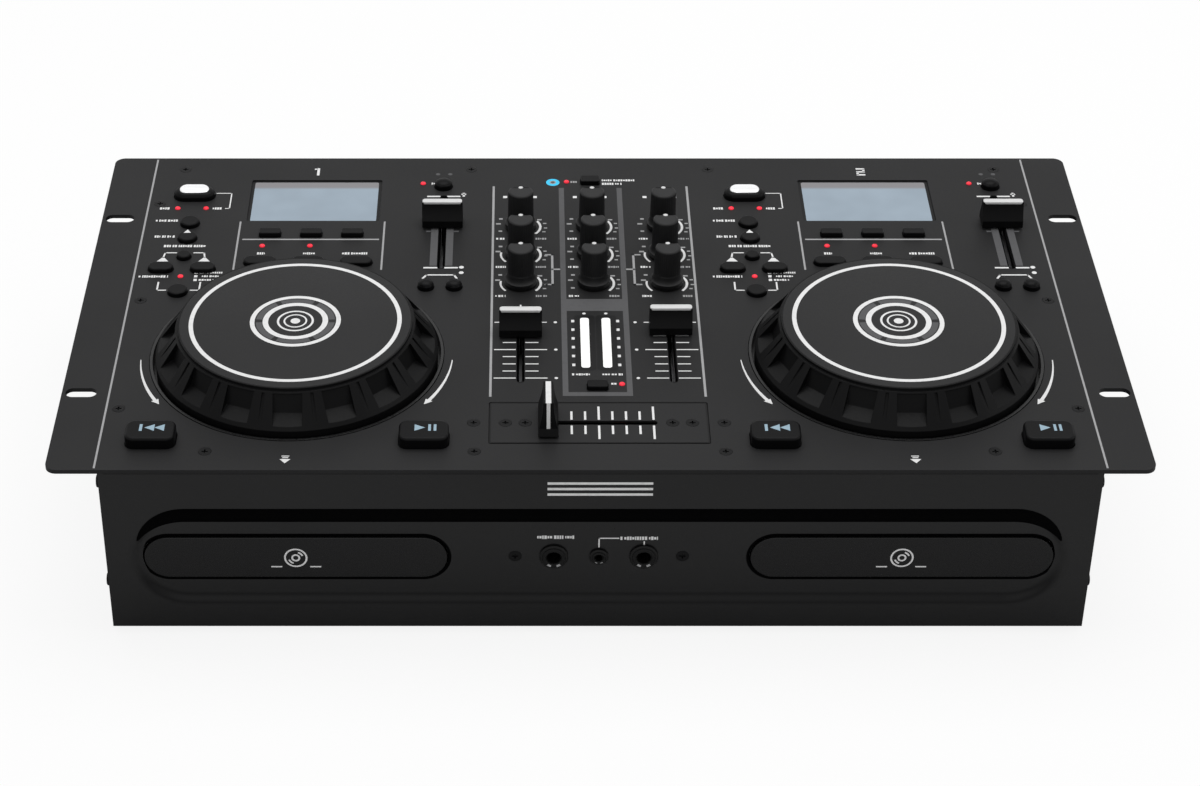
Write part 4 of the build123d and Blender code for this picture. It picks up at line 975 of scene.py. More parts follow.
@dataclass
class Deck:
    """Printing, lenses, key marks and display border of one deck.

    Attributes:
        side: which deck it is.
        arrows: the two arrows beside the jog wheel.
        front_bars: y and width of the bars in front of the jog wheel.
        front_point: y of the base, y of the tip and half width of the mark below them.
        captions: first x, last x and y of each caption.
        notes: first x and last x of each row of the small list beside the track keys.
        note_y: y of the list's first row.
        note_pitch: distance between its rows.
        note_mark_x: x of the mark before each row.
        brackets: the lines that tie keys and captions together, each with its width.
        track_keys: x of the two track keys, under the two upright marks.
        track_mark: y of the base, y of the tip and half width of those marks.
        frame_x: how far the lines beside the display keys are from the deck's middle.
        frame_ends: y of both ends of those lines.
        rule_y: y of the line under the display keys.
        rule_half: half that line's length.
        display_y: y of the display's middle.
        glass_drop: how far the display's face is below the panel's top.
        lamps: x and y of each lamp.
    """

    side: Side
    arrows: tuple[Arrow, Arrow] = (Arrow(183.6, 210.5), Arrow(-3.6, -30.5))
    front_bars: tuple[Pair, ...] = ((10.2, 3.4), (9.0, 2.6))
    front_point: Triple = (8.0, 5.0, 2.4)
    captions: tuple[Triple, ...] = (
        (-25.2, -21.4, 175.2), (-2.9, 3.0, 175.2), (16.0, 28.6, 175.2), (-76.6, -71.4, 216.9),
        (-50.4, -45.0, 216.9), (-77.4, -66.6, 205.4), (-76.4, -66.6, 190.6),
        (-71.0, -49.8, 181.9), (-80.2, -66.2, 154.6))
    notes: tuple[Pair, ...] = ((-51.2, -44.0), (-50.0, -41.6), (-51.2, -40.0))
    note_y: float = 151.6
    note_pitch: float = 3.2
    note_mark_x: float = -52.9
    brackets: tuple[tuple[tuple[Pair, ...], float], ...] = (
        (((-49.4, 231.4), (-42.1, 231.4), (-42.1, 216.9), (-44.0, 216.9)), 0.6),
        (((-64.4, 175.8), (-69.6, 175.8), (-70.2, 171.6)), 0.8),
        (((-55.6, 175.8), (-50.8, 175.8), (-50.2, 171.6)), 0.8),
        (((-66.2, 142.6), (-70.2, 142.6), (-70.2, 149.4)), 0.8),
        (((-54.2, 142.6), (-50.2, 142.6), (-50.2, 149.4)), 0.8))
    track_keys: Pair = (-70.2, -50.2)
    track_mark: Triple = (168.0, 172.2, 2.8)
    frame_x: float = 35.5
    frame_ends: Pair = (204.1, 161.0)
    rule_y: float = 188.0
    rule_half: float = 32.8
    display_y: float = 224.8
    glass_drop: float = 0.6
    lamps: tuple[Pair, ...] = ((-67.7, 216.9), (-53.7, 216.9), (-23.2, 182.0), (0.0, 182.0),
                               (-60.2, 154.6), (53.4, 240.8))

    def build(self) -> None:
        """Makes the deck's pieces."""
        place = Place.top(self.side.deck_x)
        white = Print(f"deck_print_{self.side.word}", place, Palette.white_ink)
        pale = Print(f"deck_lines_{self.side.word}", place, Palette.pale_ink_and_glint)
        grey = Print(f"deck_stripes_{self.side.word}", place, Palette.grey_ink)
        self.jog_marks(white)
        self.display_lines(pale)
        self.key_captions(white)
        PitchScale().draw(white, grey)
        self.numeral(white)
        white.done()
        pale.done()
        grey.done()
        self.display()
        KeyTops(self.side).build()
        self.lenses()

    def jog_marks(self, white: Print) -> None:
        """Arrows beside the jog wheel, and the mark in front of it.

        Args:
            white: the deck's white printing.
        """
        for arrow in self.arrows:
            arrow.draw(white)
        for y, width in self.front_bars:
            white.bar(0, y, width, 0.6)
        white.upright(0, *self.front_point)

    def display_lines(self, pale: Print) -> None:
        """Lines round the keys in front of the display.

        Args:
            pale: the deck's pale printing.
        """
        for sign in (-1, 1):
            pale.line([(sign * self.frame_x, y) for y in self.frame_ends], 0.9)
        pale.line([(-self.rule_half, self.rule_y), (self.rule_half, self.rule_y)], 1.1)

    def key_captions(self, white: Print) -> None:
        """Captions, brackets and marks of the keys behind the jog wheel.

        Args:
            white: the deck's white printing.
        """
        for start, end, y in self.captions:
            white.dashes(start, end, y)
        for points, width in self.brackets:
            white.line(points, width)
        for x in self.track_keys:
            white.upright(x, *self.track_mark)
        for row, (start, end) in enumerate(self.notes):
            y = self.note_y + self.note_pitch * row
            white.dashes(start, end, y, 1.5)
            white.bar(self.note_mark_x, y, 1.6, 1.9)

    def numeral(self, white: Print, y: float = 252.4, step: float = 2.9, stroke: float = 1.3) -> None:
        """The deck's plain number behind the display.

        Args:
            white: the deck's white printing.
            y: the number's middle.
            step: half its height.
            stroke: width of its strokes.
        """
        if self.side is Side.LEFT:
            white.bar(0, y, stroke, 2 * step + stroke)
            white.bar(-1.2, y + step - 0.3, 1.6, 1.1)
            return
        for level in (-1, 0, 1):
            white.bar(0, y + level * step, 4.4, stroke)
        white.bar(1.6, y + step / 2, 1.2, step)
        white.bar(-1.6, y - step / 2, 1.2, step)

    def display(self) -> None:
        """The black border printed on the display's window, wider along its far edge where it is also
        the painted shadow of the window's frame.
        """
        border = Print(f"display_border_{self.side.word}",
                       Place.top(self.side.deck_x, INK_LIFT - self.glass_drop), Palette.black_ink_and_shade)
        border.ribbon(rounded(0, self.display_y, 65.3, 38.8, 0.5, 4),
                      rounded(0, self.display_y - 0.4, 62.2, 37.0, 1.0, 4), True)
        border.done()

    def lenses(self) -> None:
        """A domed red lens over each of the deck's lamps."""
        for number, (x, y) in enumerate(self.lamps):
            lens(f"lens_{self.side.word}_{number}", self.side.deck_x + x, y)


@dataclass
class PitchScale:
    """Stripes and marks along a pitch fader.

    Attributes:
        y: middle of its stripes.
        stripe: width and length of a stripe.
        stripe_x: how far a stripe's middle is from the fader's.
        end_marks: y of the marks at both ends.
        end_reach: where those marks end at the left and at the right of the fader.
        slot_half: how far from the fader's middle they start.
        middle_mark: distance, y, width and depth of the marks at the middle.
        bracket: the line over the two pitch-bend keys.
        sign_x: x of the plus sign and of the dots at the right.
        sign_y: y of the plus sign.
        dots: y of those dots.
        holes: x of the two grey dots at the panel's back.
        hole_y: their y.
        caption: first x, last x and y of the caption beside the pitch-lock key.
    """

    y: float = 195.2
    stripe: Pair = (3.5, 62.0)
    stripe_x: float = 3.75
    end_marks: Pair = (162.4, 228.4)
    end_reach: Pair = (-7.8, 7.6)
    slot_half: float = 2.3
    middle_mark: tuple[float, float, float, float] = (6.7, 195.4, 2.6, 1.2)
    bracket: tuple[Pair, ...] = ((55.8, 153.2), (57.4, 156.0), (70.6, 156.0), (71.8, 153.2))
    sign_x: float = 74.0
    sign_y: float = 230.4
    dots: Pair = (162.8, 158.0)
    holes: Pair = (60.6, 66.8)
    hole_y: float = 250.0
    caption: Triple = (57.6, 60.2, 240.8)

    def draw(self, white: Print, grey: Print) -> None:
        """Adds the scale to a deck's printing.

        Args:
            white: the deck's white printing.
            grey: the deck's grey printing.
        """
        distance, middle_y, width, depth = self.middle_mark
        for sign in (-1, 1):
            grey.bar(PITCH_X + sign * self.stripe_x, self.y, *self.stripe)
            grey.bar(PITCH_X + sign * distance, middle_y, width, depth)
        for y in self.end_marks:
            for reach in self.end_reach:
                start = math.copysign(self.slot_half, reach)
                white.line([(PITCH_X + start, y), (PITCH_X + reach, y)], 1.2)
        white.line(self.bracket, 1.0)
        white.bar(self.sign_x, self.sign_y, 2.4, 1.1)
        white.bar(self.sign_x, self.sign_y - 0.4, 1.1, 3.6)
        for y in self.dots:
            white.dot(self.sign_x, y, 1.2)
        for x in self.holes:
            grey.dot(x, self.hole_y, 1.1)
        white.dashes(*self.caption, 1.8)


@dataclass
class KeyTops:
    """Marks on a deck's keys, the source key's insert and the pitch keys' domes.

    Attributes:
        side: the deck.
        mode_top: height of the mode keys.
        mode_mark: x, y of the base, y of the tip and half width of the mark on the second one.
        play_top: height of the cue and the play key.
        play_y: y of the marks on these two.
        cue_bar: x, width and depth of the cue mark's bar.
        cue_points: tip and base of each of its pointers.
        play_point: tip and base of the play mark's pointer.
        pause_bars: x of the pause mark's bars.
        source: x and y of the source key.
        domes: the body's name and the x, y, radius and height of each domed key.
        dome_edge: how high a dome rises from its edge.
    """

    side: Side
    mode_top: float = 2.2
    mode_mark: tuple[float, float, float, float] = (-60.3, 190.6, 193.5, 1.8)
    play_top: float = 5.4
    play_y: float = 24.0
    cue_bar: Triple = (-64.2, 1.3, 5.0)
    cue_points: tuple[Pair, Pair] = ((-62.6, -58.2), (-58.2, -53.8))
    play_point: Pair = (60.6, 56.0)
    pause_bars: Pair = (62.6, 65.0)
    source: Pair = (-60.4, 229.2)
    domes: tuple[tuple[str, float, float, float, float], ...] = (
        ("pitch_bend_keys", 57.4, 145.4, 3.6, 3.9), ("pitch_bend_keys", 70.8, 145.4, 3.6, 3.9),
        ("pitch_lock_button", 63.7, 238.0, 4.2, 4.0))
    dome_edge: float = 1.9

    def build(self) -> None:
        """Makes the pieces, each on its key's body."""
        self.marks()
        self.source_insert()
        self.key_domes()

    def mark(self, name: str, height: float, ink: Finish, key: str) -> Print:
        """Starts the printing on one key.

        Args:
            name: what the mark is for.
            height: height of the key's top.
            ink: the ink.
            key: the key's name without its side.
        Returns:
            The printing, still empty.
        """
        return Print(f"{name}_mark_{self.side.word}", Place.top(self.side.deck_x, height + INK_LIFT),
                     ink, f"{key}_{self.side.word}")

    def marks(self) -> None:
        """Marks on the second mode key, on the cue key and on the play key."""
        mode = self.mark("mode", self.mode_top, Palette.white_ink, "mode_keys")
        mode.upright(*self.mode_mark)
        mode.done()
        cue = self.mark("cue", self.play_top, Palette.key_ink, "cue_button")
        x, width, depth = self.cue_bar
        cue.bar(x, self.play_y, width, depth)
        for tip, base in self.cue_points:
            cue.sideways(tip, base, self.play_y, 2.5)
        cue.done()
        play = self.mark("play", self.play_top, Palette.key_ink, "play_button")
        play.sideways(*self.play_point, self.play_y, 2.4)
        for x in self.pause_bars:
            play.bar(x, self.play_y, 1.2, 4.8)
        play.done()

    def source_insert(self) -> None:
        """Silver domed insert of the source key."""
        insert = Solid(f"source_insert_{self.side.word}", Place.top(self.side.deck_x, 0.0),
                       Palette.silver, f"source_button_{self.side.word}")
        insert.pillow(rounded(*self.source, 15.0, 7.6, 3.75, 8), self.source, 3.2, 4.7, 1.4, 6)
        insert.done(50)

    def key_domes(self) -> None:
        """Rounded tops of the pitch keys."""
        for kind, x, y, radius, top in self.domes:
            dome = Solid(f"key_dome_{self.side.word}_{round(x)}", Place.top(self.side.deck_x, 0.0),
                         Palette.key, f"{kind}_{self.side.word}")
            dome.turned(x, y, [(radius * math.cos(a), top - self.dome_edge * (1 - math.sin(a)))
                               for a in (0.0, 0.3, 0.6, 0.9, 1.2, 1.5)], 40)
            dome.done(60)


@dataclass
class Knobs:
    """The mixer's nine turning knobs and the scales printed round them.

    Attributes:
        columns: name and x of each column.
        rows: name and y of each row.
        lift: height of a knob's underside.
        height: height of its top.
        skirt: radius of its skirt.
        skirt_top: height at which the skirt starts to curve in.
        grip: radius at the foot of its grip.
        flutes: how many flutes the grip has.
        flute_depth: their depth.
        fluted: lowest and highest height they reach.
        flat: how far the flat at the back is from the middle, and the height it starts at.
        rod_y: how far behind the middle the pointer rod stands.
        rod: radius and height of each step of the rod.
        back_marks: x of the two squares behind the last row, from the column's.
        back_y: their y.
    """

    columns: tuple[tuple[str, float], ...] = (
        ("left", -CHANNEL_X), ("centre", 0.0), ("right", CHANNEL_X))
    rows: tuple[tuple[str, float], ...] = (("front", 148.6), ("middle", 174.1), ("back", 199.6))
    lift: float = 0.6
    height: float = 20.7
    skirt: float = 7.8
    skirt_top: float = 2.9
    grip: float = 6.3
    flutes: int = 36
    flute_depth: float = 0.2
    fluted: Pair = (7.0, 19.7)
    flat: Pair = (3.0, 6.85)
    rod_y: float = 3.2
    rod: tuple[Pair, ...] = ((1.3, 6.9), (1.3, 20.3), (1.15, 20.55), (0.8, 20.67), (0.2, 20.69))
    back_marks: Pair = (-7.8, 7.0)
    back_y: float = 227.8

    def profile(self) -> list[Pair]:
        """Works out a knob's outline.

        Returns:
            Radius and height of each step, from the underside.
        """
        steps = [(self.skirt - 0.3, self.lift), (self.skirt, self.lift + 0.4),
                 (self.skirt, self.skirt_top)]
        steps += [(self.grip + 0.05 + 1.45 * (1 - math.sin(a)), 3.2 + 3.6 * (1 - math.cos(a)))
                  for a in (0.0, 0.4, 0.8, 1.2, math.pi / 2)]
        steps += [(self.grip, self.flat[1]), (self.grip, 7.6), (6.1, 19.6), (5.95, 20.1), (5.6, 20.5),
                  (5.1, self.height), (4.6, self.height - 0.12), (0.6, self.height - 0.3)]
        return steps

    def build(self) -> None:
        """Makes the knobs and their scales."""
        white = Print("knob_scales", Place.top(), Palette.white_ink)
        faint = Print("knob_scale_dashes", Place.top(), Palette.pale_ink_and_glint)
        for column, x in self.columns:
            for row, y in self.rows:
                self.knob(f"{column}_{row}", x, y)
                KnobScale(x, y, row != "back" and column != "centre").draw(white, faint)
            for reach in self.back_marks:
                white.bar(x + reach, self.back_y, 2.0, 2.0)
        white.done()
        faint.done()

    def knob(self, name: str, x: float, y: float) -> None:
        """Makes one knob with its face and its pointer rod.

        Args:
            name: its column and row.
            x: its place across.
            y: its place along.
        """
        node = f"knob_{name}"
        grip = Solid(f"grip_{name}", Place.top(x, 0.0), Palette.knob, node)
        grip.turned(0, y, self.profile(), 4 * self.flutes, self.flutes, self.flute_depth, self.fluted,
                    self.flat)
        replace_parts(grip.done(40), node)
        face = Print(f"knob_face_{name}", Place.top(x, self.height - 0.1), Palette.knob_top, node)
        face.patch([(px, min(py, y + self.flat[0] - 0.5)) for px, py in circle(0, y, 4.6)])
        face.done()
        rod = Solid(f"pointer_{name}", Place.top(x, 0.0), Palette.ridge, node)
        rod.turned(0, y + self.rod_y, self.rod, 24)
        rod.done(50)


@dataclass
class KnobScale:
    """Arcs and short marks printed round one knob.

    Attributes:
        x: the knob's place across.
        y: the knob's place along.
        both: whether an arc runs at its left too.
        arc: outer radius, inner radius, first and last degree of the arc at its right.
        left_arc: the same for the arc at its left.
        fan: degrees of the marks outside the right arc.
        fan_radius: their distance from the middle.
        marks: x, y, width and depth of the other marks, from the knob's middle.
        low_mark: the mark that takes the left arc's place.
        caption_y: how far in front of the middle the two captions are.
        captions: first and last x of the grey and of the white caption.
    """

    x: float
    y: float
    both: bool
    arc: tuple[float, float, float, float] = (10.2, 9.0, -42, 34)
    left_arc: tuple[float, float, float, float] = (10.1, 9.1, 168, 222)
    fan: Triple = (15, -5, -22)
    fan_radius: float = 12.2
    marks: tuple[tuple[float, float, float, float], ...] = (
        (9.2, 6.6, 2.2, 1.1), (-9.8, 7.4, 1.8, 1.3), (-11.0, 2.8, 2.4, 1.3))
    low_mark: tuple[float, float, float, float] = (-10.0, -4.0, 1.8, 1.3)
    caption_y: float = 11.0
    captions: tuple[Pair, Pair] = ((7.2, 12.4), (-12.0, -7.2))

    def draw(self, white: Print, faint: Print) -> None:
        """Adds the scale to the mixer's printing.

        Args:
            white: the white printing.
            faint: the grey printing.
        """
        white.ring(self.x, self.y, *self.arc, 24)
        for degrees in self.fan:
            angle = math.radians(degrees)
            faint.bar(self.x + self.fan_radius * math.cos(angle),
                      self.y + self.fan_radius * math.sin(angle), 1.6, 1.0)
        if self.both:
            white.ring(self.x, self.y, *self.left_arc, 16)
        for x, y, width, depth in self.marks if self.both else (*self.marks, self.low_mark):
            faint.bar(self.x + x, self.y + y, width, depth)
        for ink, (start, end) in zip((faint, white), self.captions):
            ink.dashes(self.x + start, self.x + end, self.y - self.caption_y, 1.7)


@dataclass
class Mixer:
    """Printing of the mixer between the decks.

    Attributes:
        side_x: how far the long side lines are from the middle.
        side_ends: y of their two ends.
        frame_x: how far the frame's long bars are from the middle.
        frame_ends: y of both ends of those bars.
        frame_width: width of the whole frame.
        crossbars: y and depth of the frame's two crossbars.
        captions: first x, last x, y and height of each white caption.
        link_caption: the same for the grey one.
        channel_marks: y and reach of each bar beside a channel fader.
        channel_dots: y of the dots beside it.
        slot_clear: how far from a fader's middle its marks start.
        bracket_x: how far from the middle a bracket's upright is.
        bracket_reach: how far its arms reach out.
        bracket_ends: y of its two arms.
        meter_x: how far each bar of the meter is from the middle.
        meter_y: y of the bars' middle.
        meter_dots: x, first y, pitch and number of the marks beside the meter.
        slots: length of a pitch fader's and of a channel fader's slot, each with its dark edge.
        slot_y: y of their middles.
        slot_width: width of a slot between its dark edges.
        lip_x: how far a dust strip's middle is from its slot's.
        lip_width: width of a dust strip.
        lip_drop: how far under the panel the strips lie.
        pairing: x and y of the blue dot beside the pairing key.
        pairing_rings: radius of the blue dot, and outer and inner radius of the ring in it.
        lenses: name, x and y of the two lamps.
    """

    side_x: float = 48.4
    side_ends: Pair = (237.6, 55.6)
    frame_x: float = 14.5
    frame_ends: Pair = (236.6, 55.6)
    frame_width: float = 26.4
    crossbars: tuple[Pair, Pair] = ((129.9, 10.2), (57.1, 3.0))
    captions: tuple[tuple[float, float, float, float], ...] = (
        (-11.4, -2.6, 72.6, 1.6), (2.4, 11.6, 72.6, 1.6), (6.2, 8.8, 65.2, 1.3),
        (6.0, 16.6, 240.6, 2.0), (6.0, 22.4, 244.0, 1.8))
    link_caption: tuple[float, float, float, float] = (-9.8, -6.6, 242.4, 1.8)
    channel_marks: tuple[Pair, ...] = (
        (115.2, 12.2), (109.5, 8.2), (104.0, 8.2), (98.4, 8.2), (92.6, 12.2), (86.9, 8.2),
        (81.0, 8.2), (75.3, 8.2), (69.7, 12.2))
    channel_dots: Triple = (115.2, 92.6, 69.7)
    slot_clear: float = 2.2
    bracket_x: float = 19.6
    bracket_reach: float = 22.6
    bracket_ends: Pair = (174.0, 147.6)
    meter_x: float = 5.0
    meter_y: float = 98.5
    meter_dots: tuple[float, float, float, int] = (10.4, 80.2, 7.2, 6)
    slots: tuple[Pair, Pair] = ((70.0, 0.4), (55.0, 0.3))
    slot_y: Pair = (195.5, 92.5)
    slot_width: float = 3.0
    lip_x: float = 1.9
    lip_width: float = 2.4
    lip_drop: float = 0.3
    pairing: Pair = (-18.7, 242.0)
    pairing_rings: Triple = (3.4, 1.6, 1.0)
    lenses: tuple[tuple[str, float, float], ...] = (
        ("lens_pairing", -11.8, 242.4), ("lens_meter", 11.1, 64.8))

    def build(self) -> None:
        """Makes the mixer's printing and its two lenses."""
        white = Print("mixer_print", Place.top(), Palette.white_ink)
        pale = Print("mixer_side_lines", Place.top(), Palette.pale_ink_and_glint)
        grey = Print("mixer_frame", Place.top(), Palette.grey_ink)
        self.frame(pale, grey)
        for sign in (-1, 1):
            self.channel_scale(white, sign * CHANNEL_X, -sign)
            self.bracket(pale, sign)
        self.meter_marks(white)
        for caption in self.captions:
            white.dashes(*caption)
        pale.dashes(*self.link_caption)
        white.done()
        pale.done()
        grey.done()
        self.meter_masks()
        self.slot_lips()
        self.pairing_mark()
        CrossfaderPlate().build()
        for name, x, y in self.lenses:
            lens(name, x, y)

    def frame(self, pale: Print, grey: Print) -> None:
        """Side lines, and the grey frame round the middle column and the meter.

        Args:
            pale: the pale printing.
            grey: the grey printing.
        """
        back, front = self.frame_ends
        for sign in (-1, 1):
            pale.line([(sign * self.side_x, y) for y in self.side_ends], 1.1)
            grey.bar(sign * self.frame_x, (back + front) / 2, 2.6, back - front)
        for y, depth in self.crossbars:
            grey.bar(0, y, self.frame_width, depth)

    def meter_masks(self) -> None:
        """Black surrounds with rounded windows over the two bars of the level meter."""
        masks = Print("meter_masks", Place.top(), Palette.black_ink_and_shade)
        for x in (-self.meter_x, self.meter_x):
            masks.ribbon(rounded(x, self.meter_y, 9.6, 45.0, 1.6),
                         rounded(x, self.meter_y, 4.1, 41.0, 1.3), True)
        masks.done()

    def slot_lips(self) -> None:
        """Dust strips under the panel at both sides of every fader's slot, and the slots' edges."""
        lips = Print("slot_lips", Place.top(0.0, PANEL_UNDERSIDE - self.lip_drop), Palette.felt)
        edges = Print("slot_edges", Place.top(), Palette.felt)
        width = self.slot_width
        for side in Side:
            middles = (side.deck_x + PITCH_X, side.value * CHANNEL_X)
            for x, y, (length, edge) in zip(middles, self.slot_y, self.slots):
                for sign in (-1, 1):
                    lips.bar(x + sign * self.lip_x, y, self.lip_width, length)
                edges.ribbon(rounded(x, y, width + 2 * edge, length - width + 2 * edge,
                                     width / 2 + edge),
                             rounded(x, y, width, length - width, width / 2 - 0.01), True)
        for sign in (-1, 1):
            lips.bar(0, CROSSFADER_Y + sign * self.lip_x, self.slots[1][0], self.lip_width)
        lips.done()
        edges.done()

    def channel_scale(self, white: Print, x: float, inward: int) -> None:
        """Bars beside one channel fader's slot.

        Args:
            white: the white printing.
            x: the fader's place across.
            inward: sign of the direction to the mixer's middle.
        """
        for y, reach in self.channel_marks:
            for sign in (-1, 1):
                white.bar(x + sign * (reach + self.slot_clear) / 2, y, reach - self.slot_clear, 0.7)
        for y in self.channel_dots:
            white.dot(x + inward * 16.2, y, 0.8)
        white.bar(x, 128.4, 0.8, 3.2)

    def bracket(self, pale: Print, sign: int) -> None:
        """Link from two of an outer column's knobs to the middle frame.

        Args:
            pale: the pale printing.
            sign: sign of the column's x.
        """
        x, reach = sign * self.bracket_x, sign * self.bracket_reach
        back, front = self.bracket_ends
        pale.line([(reach, back), (x, back), (x, front), (reach, front)], 1.1)
        pale.line([(x, 161.0), (sign * 16.0, 161.0)], 1.2)

    def meter_marks(self, white: Print) -> None:
        """Marks beside the level meter and behind it.

        Args:
            white: the white printing.
        """
        x, first, pitch, count = self.meter_dots
        for sign in (-1, 1):
            for k in range(count):
                white.bar(sign * x, first + pitch * k, 1.6, 2.0)
            white.dot(sign * 5.1, 122.6, 0.8)

    def pairing_mark(self) -> None:
        """Plain blue dot with a grey middle in a pale ring."""
        dot, outer, inner = self.pairing_rings
        over = Place.top(0.0, 2 * INK_LIFT)
        blue = Print("pairing_dot", Place.top(), Palette.blue_ink)
        blue.dot(*self.pairing, dot)
        blue.done()
        pale = Print("pairing_ring", over, Palette.pale_ink_and_glint)
        pale.ring(*self.pairing, outer, inner, steps=24)
        pale.done()
        grey = Print("pairing_middle", over, Palette.grey_ink)
        grey.dot(*self.pairing, inner)
        grey.done()


@dataclass
class CrossfaderPlate:
    """Ticks printed on the crossfader's plate, painted shade round its edge and a painted highlight
    along its front.

    Attributes:
        ticks: numbers of the first and the last tick, counted from the middle.
        pitch: distance between ticks.
        long_ticks: numbers of the longer ticks.
        reaches: how far a short and a long tick reach from the slot's middle.
        slot_clear: how far from the slot's middle the ticks start.
        outline: width and depth of the painted shade round the plate's edge.
        outline_width: width of that shade's band.
        edge_highlight_y: y of the painted highlight, a fine line along the plate's front edge.
    """

    ticks: tuple[int, int] = (-2, 4)
    pitch: float = 6.07
    long_ticks: tuple[int, int] = (0, 4)
    reaches: Pair = (8.6, 12.3)
    slot_clear: float = 2.2
    outline: Pair = (96.9, 30.7)
    outline_width: float = 0.6
    edge_highlight_y: float = 19.9

    def build(self) -> None:
        """Makes the plate's printing, the painted shade round it and the painted highlight at its front.
        """
        white = Print("crossfader_scale", Place.top(), Palette.white_ink)
        for k in range(self.ticks[0], self.ticks[1] + 1):
            reach = self.reaches[k in self.long_ticks]
            for sign in (-1, 1):
                white.bar(self.pitch * k, CROSSFADER_Y + sign * (reach + self.slot_clear) / 2, 1.0,
                          reach - self.slot_clear)
        white.done()
        # Painted shade in the groove round the plate.
        fine = Print("crossfader_edge_shade", Place.top(), Palette.black_ink_and_shade)
        inside = (side - 2 * self.outline_width for side in self.outline)
        fine.ribbon(rounded(0, CROSSFADER_Y, *self.outline, 0.95, 4),
                    rounded(0, CROSSFADER_Y, *inside, 0.6, 4), True)
        fine.done()
        # Painted highlight on the plate's front edge.
        front = Print("crossfader_edge_highlight", Place.top(), Palette.edge_highlight_ink)
        front.bar(0, self.edge_highlight_y, 96.0, 0.35)
        front.done()


@dataclass
class FaderCaps:
    """White crests of the fader caps, and the stripe over the crossfader's cap.

    Attributes:
        height: height of the upright caps.
        pitch_y: y of the pitch faders at rest.
        channel_y: y of the left and of the right channel fader at rest.
        crest: length, depth and corner radius of a crest.
        crest_foot: how far a crest reaches down into its cap.
        crest_rise: how far it stands over the cap, with an edge of the same radius.
        stripe_x: the crossfader's x at rest.
        stripe_top: height of its cap.
        stripe: width and length of the stripe on top.
        slope: half width, y of the top, y of the foot and drop of the stripe's two ends.
    """

    height: float = 13.0
    pitch_y: float = 202.6
    channel_y: Pair = (106.8, 108.5)
    crest: Triple = (19.4, 3.4, 1.1)
    crest_foot: float = 1.1
    crest_rise: float = 0.35
    stripe_x: float = -22.5
    stripe_top: float = 16.5
    stripe: Pair = (2.4, 16.8)
    slope: tuple[float, float, float, float] = (0.8, 8.46, 10.76, 12.1)

    def build(self) -> None:
        """Makes the crest of each cap, and the stripe."""
        for side, channel_y in zip(Side, self.channel_y):
            self.crest_bar(f"pitch_crest_{side.word}", side.deck_x + PITCH_X, self.pitch_y,
                           f"pitch_fader_{side.word}")
            self.crest_bar(f"channel_crest_{side.word}", side.value * CHANNEL_X, channel_y,
                           f"channel_fader_{side.word}")
        stripe = Print("crossfader_stripe", Place.top(self.stripe_x, self.stripe_top + INK_LIFT),
                       Palette.white_ink, "crossfader")
        stripe.bar(0, CROSSFADER_Y, *self.stripe)
        half, top, foot, drop = self.slope
        for sign in (-1, 1):
            upper, lower = CROSSFADER_Y + sign * top, CROSSFADER_Y + sign * foot
            stripe.patch([(-half, upper, 0), (half, upper, 0), (half, lower, -drop),
                          (-half, lower, -drop)])
        stripe.done()

    def crest_bar(self, name: str, x: float, y: float, body: str) -> None:
        """Makes one crest.

        Args:
            name: the piece's name.
            x: its place across.
            y: its place along.
            body: the fader it rides on.
        """
        length, depth, corner = self.crest
        bar = Solid(name, Place.top(x, 0.0), Palette.ridge, body)
        bar.pillow(rounded(0, y, length, depth, corner, 5), (0, y), self.height - self.crest_foot,
                   self.height + self.crest_rise, self.crest_rise, 3)
        bar.done(50)


